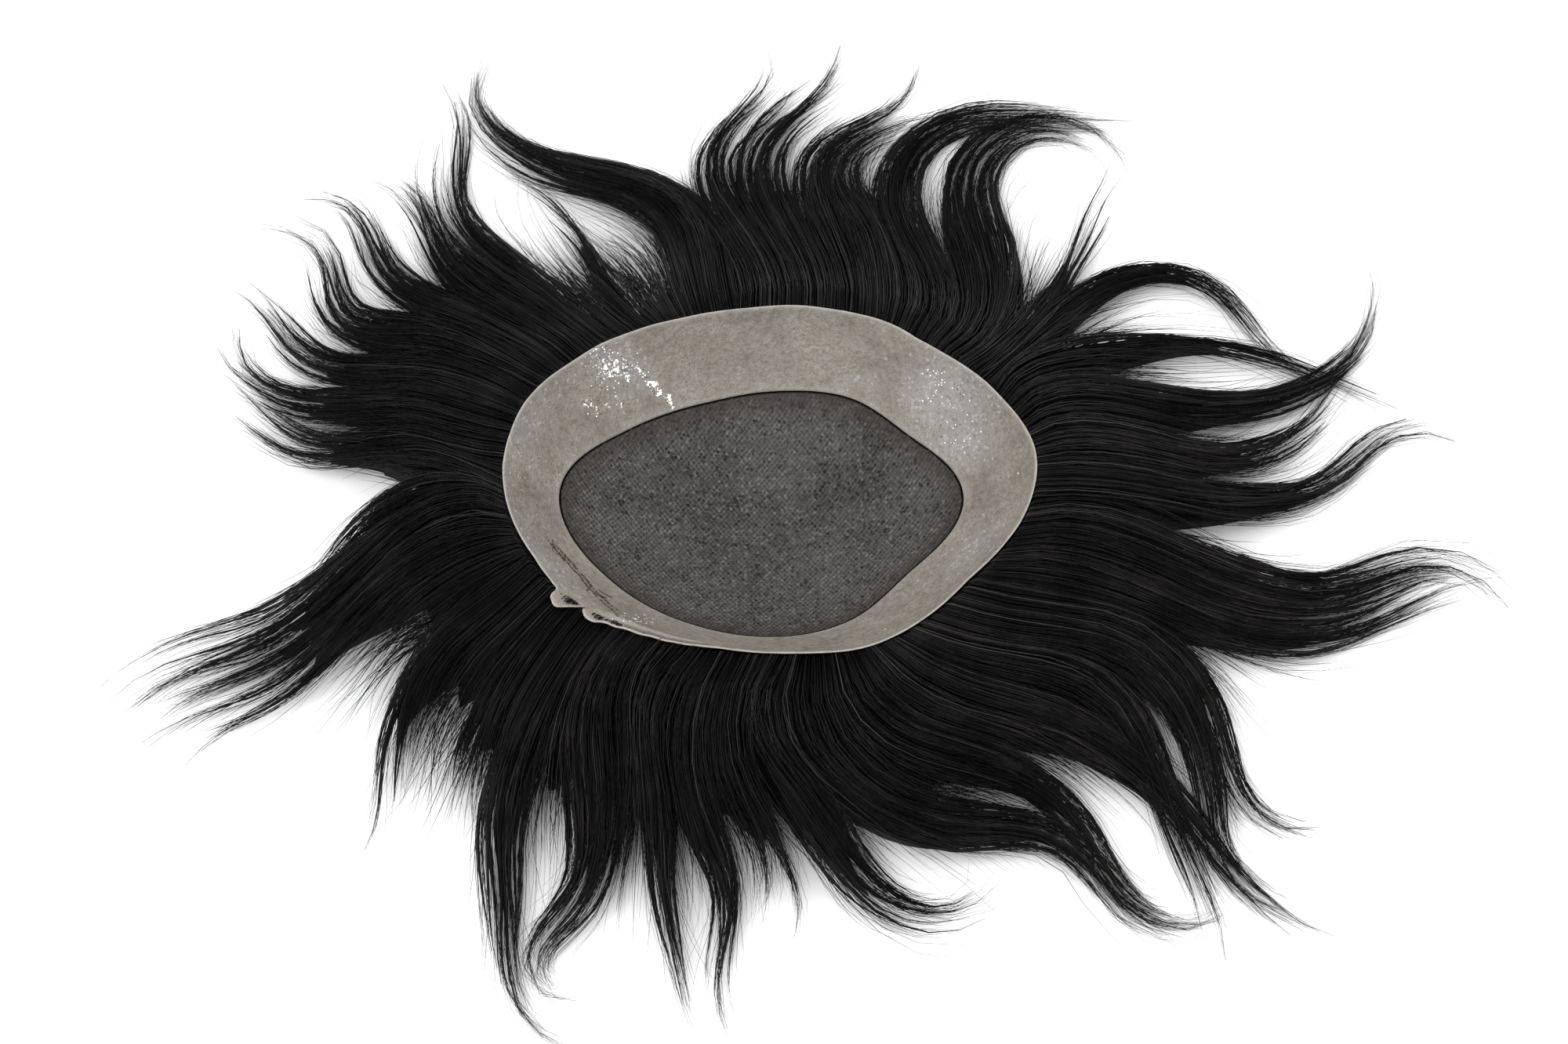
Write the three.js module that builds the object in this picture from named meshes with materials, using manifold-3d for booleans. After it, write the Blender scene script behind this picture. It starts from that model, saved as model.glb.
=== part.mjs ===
// A toupee lying upside down: a shallow cup of net with a band of clear skin film round it,
// and black hair that leaves the underside of the cup and fans out over the surface it lies on.
// Millimetres, +Z up. The origin is on the surface, under the middle of the cup.
// -X is the front end of the base, +Y the wearer's left.

import * as THREE from "three";
import { mergeVertices } from "three/addons/utils/BufferGeometryUtils.js";
import Module from "manifold-3d";

// The base, measured in plan from rim to rim
const baseLength = 176;
const baseWidth = 134;
const riseAtEnds = 41.5; // rim over the lowest point of the net, at the front and back
const riseAtSides = 32; // the same at the two sides
const cupRoundness = 0.8; // 0 is a parabola, 1 a bowl whose rim stands upright

// Walls and seams
const netWall = 1;
const skinWall = 1.2;
const netMargin = 5; // how far the net runs on under the skin band
const netSink = 0.2; // the net's face below the skin's face
const clearance = 0.3;

// The ruffle where the skin film is crumpled at the rim
const ruffleReach = 6;
const ruffleLift = 2.2;

// The hair
const hairUnderNet = 12.5; // the surface up to the net's lowest point
const hairLength = 160;
const lockWidth = 21;
const lockThickness = 5; // where a lock lies on the surface
const tipWidth = 1.8;
const tipThickness = 1.4;
const rootTuck = 9; // how far a lock starts inside the rim
const fallPower = 2.2; // how fast the hair falls from the rim to the surface
const partingGap = 0.4; // between the hair of two neighbouring regions
const massEdge = 2.4; // height of the thick mass where it ends
const crownShare = 0.6; // how far out the pad under the net reaches, as a share of the rim's radius

// Every 30 degrees round the base from +X: the rim against a plain ellipse, the net's edge as a
// share of the rim's radius, and the reach of the thick mass of hair as a share of its length
const outline = [
  { at: 0, rim: 1.0, net: 0.73, mass: 0.38 },
  { at: 30, rim: 0.975, net: 0.685, mass: 0.42 },
  { at: 60, rim: 1.055, net: 0.68, mass: 0.48 },
  { at: 90, rim: 1.045, net: 0.67, mass: 0.42 },
  { at: 120, rim: 1.005, net: 0.67, mass: 0.28 },
  { at: 150, rim: 1.0, net: 0.7, mass: 0.48 },
  { at: 180, rim: 1.0, net: 0.795, mass: 0.3 },
  { at: 210, rim: 1.02, net: 0.735, mass: 0.33 },
  { at: 240, rim: 0.975, net: 0.775, mass: 0.34 },
  { at: 270, rim: 0.96, net: 0.8, mass: 0.37 },
  { at: 300, rim: 1.005, net: 0.715, mass: 0.4 },
  { at: 330, rim: 0.965, net: 0.67, mass: 0.5 },
];

// The ruffle's frills round the rim, as shares of its reach and lift
const ruffle = [
  { at: 210, out: 0, up: 0 },
  { at: 213, out: 0.85, up: 0.6 },
  { at: 216, out: 0.45, up: -0.4 },
  { at: 219, out: 0.9, up: 0.9 },
  { at: 222, out: 0.35, up: -0.2 },
  { at: 225, out: 1.0, up: 1.0 },
  { at: 228, out: 0.6, up: -0.3 },
  { at: 231, out: 0, up: 0 },
];

// A lock starts on the rim at an angle in degrees. turn is its heading against that angle at
// five evenly spaced places from root to tip; long and wide are shares of the hair's sizes.
const backLocks = [
  { at: -1, turn: [28, 5, 14, 46, -25], long: 1.04, wide: 0.62 },
  { at: 8, turn: [45, -5, 0, 35, 60], long: 0.88, wide: 0.66 },
  { at: 16, turn: [50, -11, -4, 29, 80], long: 1.13, wide: 0.75 },
  { at: 23, turn: [50, 5, -15, -45, -50], long: 1.06, wide: 0.4 },
  { at: 27, turn: [30, 30, -5, -85, -45], long: 1.14, wide: 0.5 },
];
const leftRearLocks = [
  { at: 32, turn: [20, 25, 35, 35, 30], long: 0.84, wide: 0.4 },
  { at: 38, turn: [10, 51, 57, -15, -115], long: 1.16, wide: 1.2 },
  { at: 49, turn: [15, 59, 20, -50, -42], long: 1.27, wide: 0.85 },
  { at: 60, turn: [25, 35, 50, -25, -55], long: 0.93, wide: 0.9 },
  { at: 69, turn: [15, 35, 25, -35, 25], long: 0.97, wide: 0.8 },
  { at: 80, turn: [5, 30, 15, -35, 10], long: 1.0, wide: 1.0 },
  { at: 90, turn: [-5, 22, 13, -40, 20], long: 0.98, wide: 0.7 },
];
const leftFrontLocks = [
  { at: 107, turn: [-10, -4, 51, 29, -44], long: 1.18, wide: 1.1 },
  { at: 122, turn: [0, -4, -8, 6, 28], long: 0.69, wide: 0.3 },
  { at: 133, turn: [-7, -7, -5, -45, -8], long: 1.05, wide: 0.4 },
  { at: 138, turn: [-15, -10, -5, -30, -65], long: 0.89, wide: 0.6 },
  { at: 144, turn: [-25, -10, -15, -35, 15], long: 0.88, wide: 0.6 },
  { at: 150, turn: [-30, -13, -10, -40, 38], long: 0.97, wide: 0.8 },
  { at: 155, turn: [-25, -17, 9, -52, 30], long: 0.96, wide: 1.05 },
  { at: 162, turn: [-35, -17, 9, -36, -22], long: 0.9, wide: 0.85 },
  { at: 168, turn: [-25, -20, 4, -25, -75], long: 0.86, wide: 0.8 },
  { at: 176, turn: [-22, -32, 2, -32, -34], long: 0.75, wide: 0.7 },
  { at: 182, turn: [-48, -40, -26, -18, -42], long: 0.57, wide: 0.4 },
];
const rightFrontLocks = [
  { at: 186, turn: [-55, -26, 16, 48, 34], long: 0.57, wide: 0.8 },
  { at: 188, turn: [-60, 20, 30, 9, 50], long: 0.95, wide: 0.9 },
  { at: 195, turn: [-46, 11, 28, 6, 27], long: 0.88, wide: 0.75 },
  { at: 204, turn: [10, 4, 42, 64, 40], long: 0.66, wide: 0.5 },
  { at: 215, turn: [0, 10, 24, 40, 50], long: 0.44, wide: 0.75 },
  { at: 223, turn: [0, 20, 50, 57, 118], long: 0.92, wide: 0.8 },
  { at: 232, turn: [-20, 40, 34, 0, 160], long: 0.8, wide: 0.9 },
  { at: 239, turn: [-25, 30, 30, 20, 25], long: 0.55, wide: 0.25 },
  { at: 247, turn: [-35, 28, 27, 35, 50], long: 0.75, wide: 0.6 },
  { at: 256, turn: [-25, 15, 37, 6, 38], long: 0.73, wide: 0.6 },
  { at: 265, turn: [-30, 5, 35, 20, -20], long: 0.53, wide: 0.5 },
];
const rightRearLocks = [
  { at: 274, turn: [-50, 32, 31, 72, 150], long: 0.78, wide: 0.8 },
  { at: 283, turn: [-20, 45, 79, 24, 118], long: 1.06, wide: 0.8 },
  { at: 292, turn: [-5, 60, 36, 5, 90], long: 0.9, wide: 0.6 },
  { at: 302, turn: [30, 52, 20, 3, 36], long: 1.05, wide: 0.8 },
  { at: 310, turn: [44, 50, -16, -20, -32], long: 1.02, wide: 0.7 },
  { at: 318, turn: [40, 45, -15, -44, 30], long: 1.03, wide: 0.8 },
  { at: 326, turn: [35, 38, -18, -40, 62], long: 0.96, wide: 0.8 },
  { at: 335, turn: [55, 12, 17, 52, 35], long: 1.12, wide: 0.8 },
  { at: 345, turn: [50, 2, 11, 38, -68], long: 1.13, wide: 1.15 },
];

// The partings between regions run like locks, where two neighbours swing apart
const partings = {
  backRight: { at: -7, turn: [22, 5, 22, 30, 30] },
  backLeft: { at: 29.5, turn: [25, 28, 15, 0, 0] },
  left: { at: 98, turn: [5, 8, 25, 25, 20] },
  front: { at: 185, turn: [-52, -14, 4, 10, 10] },
  right: { at: 269.5, turn: [-20, 35, 42, 30, 10] },
};

// Width and thickness of a lock from root to tip, as shares of what a full lock has
const lockTaper = [
  { along: 0, width: 0.62, thickness: 1 },
  { along: 0.2, width: 0.85, thickness: 1 },
  { along: 0.42, width: 0.95, thickness: 1 },
  { along: 0.68, width: 0.55, thickness: 0.8 },
  { along: 0.86, width: 0.22, thickness: 0.5 },
  { along: 1, width: 0, thickness: 0 },
];
// A lock's section: flat below, round on top, in half widths and heights
const lockSection = [
  { side: -0.9, high: 0 },
  { side: 0.9, high: 0 },
  { side: 0.9, high: 0.62 },
  { side: 0, high: 1 },
  { side: -0.9, high: 0.62 },
];

const wasm = await Module();
wasm.setup();

const radians = THREE.MathUtils.degToRad;
const surface = 0; // the height of what the hair lies on

// The smooth value between b and c of four evenly spaced ones
function between(a, b, c, d, t) {
  const slopeIn = (c - a) / 2;
  const slopeOut = (d - b) / 2;
  return (
    (2 * t ** 3 - 3 * t ** 2 + 1) * b +
    (t ** 3 - 2 * t ** 2 + t) * slopeIn +
    (-2 * t ** 3 + 3 * t ** 2) * c +
    (t ** 3 - t ** 2) * slopeOut
  );
}

// A column of the outline table at any angle
function around(column, degrees) {
  const count = outline.length;
  const place = (THREE.MathUtils.euclideanModulo(degrees, 360) / 360) * count;
  const first = Math.floor(place);
  const row = (k) => outline[(first + k + count) % count][column];
  return between(row(-1), row(0), row(1), row(2), place - first);
}

// A short row of evenly spaced values, read at a share of its length
function along(values, share) {
  const last = values.length - 1;
  const place = THREE.MathUtils.clamp(share, 0, 1) * last;
  const first = Math.min(Math.floor(place), last - 1);
  const before = first > 0 ? values[first - 1] : 2 * values[0] - values[1];
  const after = first + 2 <= last ? values[first + 2] : 2 * values[last] - values[last - 1];
  return between(before, values[first], values[first + 1], after, place - first);
}

// Straight lines between the rows of a table, read in one of its columns
function stepped(table, key, column, value) {
  const next = Math.max(1, table.findIndex((row) => row[key] >= value));
  const a = table[next - 1];
  const b = table[next];
  const share = THREE.MathUtils.clamp((value - a[key]) / (b[key] - a[key]), 0, 1);
  return THREE.MathUtils.lerp(a[column], b[column], share);
}

// The base as a surface, by angle and by share of the rim's radius
function rimRadius(degrees) {
  const a = radians(degrees);
  const ellipse = 1 / Math.hypot(Math.cos(a) / (baseLength / 2), Math.sin(a) / (baseWidth / 2));
  return ellipse * around("rim", degrees);
}

function rimRise(degrees) {
  const swing = Math.cos(2 * radians(degrees));
  return (riseAtEnds + riseAtSides) / 2 + ((riseAtEnds - riseAtSides) / 2) * swing;
}

function cupShape(share) {
  const flat = Math.sqrt(1 - cupRoundness ** 2);
  return (1 - Math.sqrt(1 - (cupRoundness * Math.min(share, 1)) ** 2)) / (1 - flat);
}

function cupHeight(degrees, share) {
  return hairUnderNet + rimRise(degrees) * cupShape(share);
}

// How much deeper, straight down, a wall reaches on the cup's slope than on the flat
function slopeFactor(degrees, share) {
  const step = 0.01;
  const inner = Math.min(share, 1 - step);
  const climb = cupHeight(degrees, inner + step) - cupHeight(degrees, inner);
  return Math.hypot(1, climb / (step * rimRadius(degrees)));
}

function ruffleAt(degrees, column) {
  return stepped(ruffle, "at", column, degrees);
}

// Angles at which the base is sampled, closer together where the rim is ruffled
const wideStep = 10;
const angles = [];
for (let degrees = 0; degrees < 360; degrees += wideStep) {
  angles.push(degrees);
}
for (const row of ruffle) {
  if (!angles.includes(row.at)) {
    angles.push(row.at);
  }
}
angles.sort((a, b) => a - b);

// Solids between two surfaces given by rings of points from the inside outwards. Each ring is
// { radius, top, bottom } as functions of the angle; a first radius of zero is one middle point.
function shellOf(rings, closedMiddle) {
  const points = [];
  const faces = [];
  const ringStart = { top: [], bottom: [] };
  for (const side of ["top", "bottom"]) {
    rings.forEach((ring, i) => {
      ringStart[side].push(points.length / 3);
      if (closedMiddle && i === 0) {
        points.push(0, 0, ring[side](0));
        return;
      }
      for (const degrees of angles) {
        const radius = ring.radius(degrees);
        const a = radians(degrees);
        points.push(radius * Math.cos(a), radius * Math.sin(a), ring[side](degrees));
      }
    });
  }
  const count = angles.length;
  const strip = (a, b, flip) => {
    for (let k = 0; k < count; k += 1) {
      const n = (k + 1) % count;
      addQuad(faces, a + k, b + k, b + n, a + n, flip);
    }
  };
  const fan = (middle, ring, flip) => {
    for (let k = 0; k < count; k += 1) {
      const n = (k + 1) % count;
      addTriangle(faces, middle, ring + k, ring + n, flip);
    }
  };
  for (const side of ["top", "bottom"]) {
    const flip = side === "bottom";
    for (let i = 0; i + 1 < rings.length; i += 1) {
      const inner = ringStart[side][i];
      const outer = ringStart[side][i + 1];
      if (closedMiddle && i === 0) {
        fan(inner, outer, flip);
      } else {
        strip(inner, outer, flip);
      }
    }
  }
  const last = rings.length - 1;
  strip(ringStart.top[last], ringStart.bottom[last], false);
  if (!closedMiddle) {
    strip(ringStart.bottom[0], ringStart.top[0], false);
  }
  return solidOf(points, faces);
}

function addTriangle(faces, a, b, c, flip) {
  if (flip) {
    faces.push(a, c, b);
  } else {
    faces.push(a, b, c);
  }
}

function addQuad(faces, a, b, c, d, flip) {
  addTriangle(faces, a, b, c, flip);
  addTriangle(faces, a, c, d, flip);
}

// Solids in and out of manifold-3d
function solidOf(points, faces) {
  const geometry = new THREE.BufferGeometry();
  geometry.setAttribute("position", new THREE.Float32BufferAttribute(points, 3));
  geometry.setIndex(faces);
  const merged = mergeVertices(geometry, 1e-4);
  const mesh = new wasm.Mesh({
    numProp: 3,
    vertProperties: merged.attributes.position.array,
    triVerts: new Uint32Array(merged.index.array),
  });
  return new wasm.Manifold(mesh);
}

function meshOf(name, solid, look) {
  const made = solid.getMesh();
  const geometry = new THREE.BufferGeometry();
  const points = new Float32Array(made.numVert * 3);
  for (let i = 0; i < made.numVert; i += 1) {
    points.set(made.vertProperties.subarray(i * made.numProp, i * made.numProp + 3), i * 3);
  }
  geometry.setAttribute("position", new THREE.BufferAttribute(points, 3));
  geometry.setIndex(new THREE.BufferAttribute(made.triVerts, 1));
  geometry.computeVertexNormals();
  const mesh = new THREE.Mesh(geometry, new THREE.MeshStandardMaterial(look));
  mesh.name = name;
  return mesh;
}

// A ring of the cup: its place as a share of the rim's radius plus a distance, and the depths
// below the cup's face of its upper and lower side, square to the slope
function cupRing(share, beyond, upper, lower) {
  const at = (degrees) => share(degrees) + beyond / rimRadius(degrees);
  const height = (depth) => (degrees) => {
    const s = at(degrees);
    return cupHeight(degrees, s) - depth * slopeFactor(degrees, s);
  };
  return {
    radius: (degrees) => at(degrees) * rimRadius(degrees),
    top: height(upper),
    bottom: height(lower),
  };
}

const netEdge = (degrees) => around("net", degrees);
const netLap = skinWall + clearance;

// The net's rings, as shares of the way from its middle to its edge
const netSteps = [0, 0.4, 0.75];
function netShare(step) {
  return (degrees) => step * netEdge(degrees);
}

// The net: a dome of one wall whose margin steps down and runs on under the skin band
function makeNet() {
  const face = (share, beyond) => cupRing(share, beyond, netSink, netSink + netWall);
  const lap = (beyond) => cupRing(netEdge, beyond, netLap, netLap + netWall);
  const rings = netSteps.map((step) => face(netShare(step), 0));
  rings.push(face(netEdge, -netMargin / 2), lap(-clearance), lap(netMargin));
  return shellOf(rings, true);
}

// A ring on the rim, pushed out and up by the ruffle
function rimRing(upper, lower, spread) {
  const plain = cupRing(() => 1, 0, upper, lower);
  const lift = (degrees) => ruffleAt(degrees, "up") * ruffleLift;
  return {
    radius: (degrees) => plain.radius(degrees) + ruffleAt(degrees, "out") * ruffleReach + spread,
    top: (degrees) => plain.top(degrees) + lift(degrees),
    bottom: (degrees) => plain.bottom(degrees) + lift(degrees),
  };
}

// The skin band: a ring of film from the net's edge up to the rim. Its places are shares of the
// way from the end of the net's margin to the rim.
function bandShare(step) {
  return (degrees) => {
    const marginEnd = netEdge(degrees) + (netMargin + clearance) / rimRadius(degrees);
    return THREE.MathUtils.lerp(marginEnd, 1, step);
  };
}
const bandSteps = [0.5, 0.88];

function makeBand() {
  const rings = [cupRing(netEdge, 0, 0, skinWall)];
  for (const step of [0, ...bandSteps]) {
    rings.push(cupRing(bandShare(step), 0, 0, skinWall));
  }
  rings.push(rimRing(0, skinWall, 0));
  return shellOf(rings, false);
}

// All that the cup takes up, with a clearance round it, open upwards: the hair is cut by it
function makeCupRoom() {
  const roof = hairUnderNet + 2 * Math.max(riseAtEnds, riseAtSides);
  const netFace = netSink + netWall + clearance;
  const netUnder = netLap + netWall + clearance;
  const skinUnder = skinWall + clearance;
  const rings = [
    ...netSteps.map((step) => cupRing(netShare(step), 0, 0, netFace)),
    cupRing(netEdge, -netMargin / 2, 0, netUnder),
    cupRing(netEdge, -clearance, 0, netUnder),
    cupRing(netEdge, netMargin + clearance, 0, netUnder),
    ...bandSteps.map((step) => cupRing(bandShare(step), 0, 0, skinUnder)),
    rimRing(0, skinUnder, clearance),
  ];
  for (const ring of rings) {
    ring.top = () => roof;
  }
  return shellOf(rings, true);
}

// The height of the hair's top, a distance out from where it leaves the rim
function fallHeight(degrees, distance, lying) {
  const root = cupHeight(degrees, 1) - skinWall;
  const share = Math.max(0, 1 - distance / hairLength);
  return (root - lying) * share ** fallPower + lying;
}

// The pad of hair under the net, which the toupee rests on
const crownEdge = (degrees) => crownShare * rimRadius(degrees);
function makeCrown(cupRoom) {
  const ring = (share) => ({
    radius: (degrees) => share * crownEdge(degrees),
    top: () => hairUnderNet + riseAtEnds,
    bottom: () => surface,
  });
  return shellOf([ring(0), ring(1)], true).subtract(cupRoom);
}

// The thick mass of hair round the base, before it parts into locks
function makeMass() {
  const rows = [
    { share: 0, high: 0.94 },
    { share: 0.4, high: 0.9 },
    { share: 0.78, high: 0.78 },
    { share: 1, high: 0 },
  ];
  const rings = [
    {
      radius: (degrees) => crownEdge(degrees) + partingGap,
      top: (degrees) => cupHeight(degrees, 1),
      bottom: () => surface,
    },
  ];
  for (const row of rows) {
    const reach = (degrees) => row.share * around("mass", degrees) * hairLength;
    rings.push({
      radius: (degrees) => rimRadius(degrees) + reach(degrees),
      top: (degrees) => {
        const fall = fallHeight(degrees, reach(degrees), lockThickness);
        return Math.max(massEdge, fall * row.high);
      },
      bottom: () => surface,
    });
  }
  return shellOf(rings, false);
}

// Points along the floor from the rim outwards, each with the direction that it heads in
function runFrom(row, length, steps) {
  const root = radians(row.at);
  const start = new THREE.Vector2(Math.cos(root), Math.sin(root)).multiplyScalar(rimRadius(row.at));
  const point = start.clone();
  const run = [];
  const finer = 4;
  for (let i = 0; i <= steps * finer; i += 1) {
    const share = i / (steps * finer);
    const heading = radians(row.at + along(row.turn, share));
    const way = new THREE.Vector2(Math.cos(heading), Math.sin(heading));
    if (i % finer === 0) {
      run.push({ share, point: point.clone(), way: way.clone(), from: point.distanceTo(start) });
    }
    point.addScaledVector(way, length / (steps * finer));
  }
  return run;
}

// One lock: its section drawn out along its run, tapering to the tip
const lockStep = 18;
function makeLock(row) {
  const length = row.long * hairLength;
  const steps = Math.max(5, Math.round(length / lockStep));
  const run = runFrom(row, length, steps);
  const inwards = run[0].way.clone().multiplyScalar(-rootTuck);
  const tuck = { ...run[0], point: run[0].point.clone().add(inwards) };
  const points = [];
  const faces = [];
  const stations = [tuck, ...run];
  for (const station of stations) {
    const taper = (column) => stepped(lockTaper, "along", column, station.share);
    const halfWidth = THREE.MathUtils.lerp(tipWidth, lockWidth * row.wide, taper("width")) / 2;
    const lying = THREE.MathUtils.lerp(tipThickness, lockThickness, taper("thickness"));
    const height = fallHeight(row.at, station.from, lying);
    for (const corner of lockSection) {
      const x = station.point.x - station.way.y * corner.side * halfWidth;
      const y = station.point.y + station.way.x * corner.side * halfWidth;
      points.push(x, y, surface + corner.high * height);
    }
  }
  const corners = lockSection.length;
  for (let i = 0; i + 1 < stations.length; i += 1) {
    for (let k = 0; k < corners; k += 1) {
      const n = (k + 1) % corners;
      addQuad(faces, i * corners + k, i * corners + n, (i + 1) * corners + n, (i + 1) * corners + k, false);
    }
  }
  const tip = (stations.length - 1) * corners;
  for (let k = 1; k + 1 < corners; k += 1) {
    addTriangle(faces, 0, k, k + 1, true);
    addTriangle(faces, tip, tip + k, tip + k + 1, false);
  }
  return solidOf(points, faces);
}

// A parting as a line in plan, from under the net outwards, moved sideways by half its gap
function partingLine(row, sideways) {
  const steps = 16;
  const longest = 1.7 * hairLength;
  const run = runFrom(row, longest, steps);
  const inner = 0.3;
  const way = run[0].point.clone().normalize();
  const middle = { point: run[0].point.clone().multiplyScalar(inner), way };
  return [middle, ...run].map((stop) => {
    const shift = new THREE.Vector2(-stop.way.y, stop.way.x).multiplyScalar(sideways);
    return stop.point.clone().add(shift);
  });
}

// The room between two partings, as an upright block with their lines for sides
function makeRegion(from, to) {
  const height = hairUnderNet + 2 * Math.max(riseAtEnds, riseAtSides);
  const start = partingLine(from, partingGap / 2);
  const end = partingLine(to, -partingGap / 2).reverse();
  const shape = new THREE.Shape([...start, ...end]);
  const below = 1;
  const geometry = new THREE.ExtrudeGeometry(shape, { depth: height + below, bevelEnabled: false });
  geometry.translate(0, 0, surface - below);
  geometry.deleteAttribute("normal");
  geometry.deleteAttribute("uv");
  const merged = mergeVertices(geometry, 1e-4);
  return solidOf(Array.from(merged.attributes.position.array), Array.from(merged.index.array));
}

// The hair of one region: its share of the mass, its locks, and the cup cut out of both
function makeHair(mass, cupRoom, locks, from, to) {
  let hair = mass;
  for (const row of locks) {
    hair = hair.add(makeLock(row));
  }
  return hair.intersect(makeRegion(from, to)).subtract(cupRoom);
}

const skinLook = { color: 0xa09484, roughness: 0.35, metalness: 0 };
const netLook = { color: 0x4b4642, roughness: 0.9, metalness: 0 };
const hairLook = { color: 0x161515, roughness: 0.5, metalness: 0 };

const cupRoom = makeCupRoom();
const mass = makeMass();
const toupee = new THREE.Group();
toupee.add(meshOf("mono_net", makeNet(), netLook));
toupee.add(meshOf("skin_band", makeBand(), skinLook));
toupee.add(meshOf("hair_crown", makeCrown(cupRoom), hairLook));

const { backRight, backLeft, left, front, right } = partings;
const regions = [
  { name: "hair_back", locks: backLocks, from: backRight, to: backLeft },
  { name: "hair_left_rear", locks: leftRearLocks, from: backLeft, to: left },
  { name: "hair_left_front", locks: leftFrontLocks, from: left, to: front },
  { name: "hair_right_front", locks: rightFrontLocks, from: front, to: right },
  { name: "hair_right_rear", locks: rightRearLocks, from: right, to: backRight },
];
for (const region of regions) {
  const hair = makeHair(mass, cupRoom, region.locks, region.from, region.to);
  toupee.add(meshOf(region.name, hair, hairLook));
}

export default toupee;
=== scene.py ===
# A toupee lying upside down: a cup of net, a band of clear film round it, and black hair that leaves
# the underside of the rim and fans out over the surface. Metres, +Z up, -X is the front end.
import math

import bmesh
import bpy
import numpy as np
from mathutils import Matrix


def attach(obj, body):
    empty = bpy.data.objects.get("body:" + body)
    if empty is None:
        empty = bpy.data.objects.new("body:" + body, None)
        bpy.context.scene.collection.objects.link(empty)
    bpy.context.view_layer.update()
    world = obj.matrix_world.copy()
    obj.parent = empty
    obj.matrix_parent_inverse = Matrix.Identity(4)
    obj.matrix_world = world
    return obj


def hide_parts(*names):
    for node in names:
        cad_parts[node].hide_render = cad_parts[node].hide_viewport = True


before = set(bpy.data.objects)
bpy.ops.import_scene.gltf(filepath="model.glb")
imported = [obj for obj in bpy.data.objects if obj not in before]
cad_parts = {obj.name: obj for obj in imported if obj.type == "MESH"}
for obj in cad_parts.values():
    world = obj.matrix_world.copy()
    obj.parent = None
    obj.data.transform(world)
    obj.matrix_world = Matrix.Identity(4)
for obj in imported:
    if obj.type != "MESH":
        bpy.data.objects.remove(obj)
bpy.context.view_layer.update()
print("frame loaded")

# The cup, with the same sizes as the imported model
cup = {
    "baseLength": 0.176,  # rim to rim, in plan
    "baseWidth": 0.134,
    "riseAtEnds": 0.0415,  # rim over the net's lowest point
    "riseAtSides": 0.032,
    "roundness": 0.8,
    "hairUnderNet": 0.0125,  # the surface up to the net's lowest point
    "skinWall": 0.0012,
    "netSink": 0.0002,  # the net's face below the film's face
    "netMargin": 0.005,  # how far the net runs on under the film
    "clearance": 0.0003,
    "crownShare": 0.6,
}
# Every 30 degrees round the base from +X: the rim against an ellipse, the net's edge as a share of
# the rim's radius, and the reach of the thick mass of hair as a share of its length
outline = {
    "rim": (1.0, 0.975, 1.055, 1.045, 1.005, 1.0, 1.0, 1.02, 0.975, 0.96, 1.005, 0.965),
    "net": (0.73, 0.685, 0.68, 0.67, 0.67, 0.7, 0.795, 0.735, 0.775, 0.8, 0.715, 0.67),
    "mass": (0.38, 0.42, 0.48, 0.42, 0.28, 0.48, 0.3, 0.33, 0.34, 0.37, 0.4, 0.5),
}


def smoothBetween(a, b, c, d, t):  # the smooth value between b and c of four evenly spaced ones
    return 0.5 * (2 * b + (c - a) * t + (2 * a - 5 * b + 4 * c - d) * t**2 + (3 * b - a - 3 * c + d) * t**3)


def around(column, degrees):
    values = np.array(outline[column])
    place = np.mod(degrees, 360.0) / 360.0 * len(values)
    first = np.floor(place).astype(int)
    near = [values[(first + step) % len(values)] for step in (-1, 0, 1, 2)]
    return smoothBetween(*near, place - first)


def along(values, share):
    values = np.asarray(values, float)
    ends = [2 * values[:1] - values[1:2], values, 2 * values[-1:] - values[-2:-1]]
    padded = np.concatenate(ends)
    place = np.clip(share, 0, 1) * (len(values) - 1)
    first = np.minimum(place.astype(int), len(values) - 2)
    return smoothBetween(*(padded[first + step] for step in range(4)), place - first)


def easeIn(value, low, high):  # 0 below low, 1 above high, smooth between
    t = np.clip((value - low) / (high - low), 0, 1)
    return t * t * (3 - 2 * t)


def rimRadius(degrees):
    a = np.radians(degrees)
    ellipse = 1 / np.hypot(np.cos(a) / (cup["baseLength"] / 2), np.sin(a) / (cup["baseWidth"] / 2))
    return ellipse * around("rim", degrees)


def rimRise(degrees):
    ends, sides = cup["riseAtEnds"], cup["riseAtSides"]
    return (ends + sides) / 2 + (ends - sides) / 2 * np.cos(2 * np.radians(degrees))


def cupHeight(degrees, share):
    k = cup["roundness"]
    shape = (1 - np.sqrt(1 - (k * np.minimum(share, 1)) ** 2)) / (1 - math.sqrt(1 - k * k))
    return cup["hairUnderNet"] + rimRise(degrees) * shape


def slopeFactor(degrees, share):  # how much deeper, straight down, a wall reaches on the slope
    step = 0.01
    inner = np.minimum(share, 1 - step)
    climb = cupHeight(degrees, inner + step) - cupHeight(degrees, inner)
    return np.hypot(1, climb / (step * rimRadius(degrees)))


def onCircle(degrees, radius):
    a = np.radians(degrees)
    return np.stack([radius * np.cos(a), radius * np.sin(a)], -1)


# Node helpers
def addNode(tree, kind, inputs=None, **settings):
    made = tree.nodes.new(kind)
    for key, value in settings.items():
        setattr(made, key, value)
    for key, value in (inputs or {}).items():
        if isinstance(value, bpy.types.NodeSocket):
            tree.links.new(value, made.inputs[key])
        else:
            made.inputs[key].default_value = value
    return made


def calc(operation, a, b=0.0):
    tree = a.id_data if isinstance(a, bpy.types.NodeSocket) else b.id_data
    return addNode(tree, "ShaderNodeMath", {0: a, 1: b}, operation=operation).outputs[0]


def plus(a, b):
    return calc("ADD", a, b)


def times(a, b):
    return calc("MULTIPLY", a, b)


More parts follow.
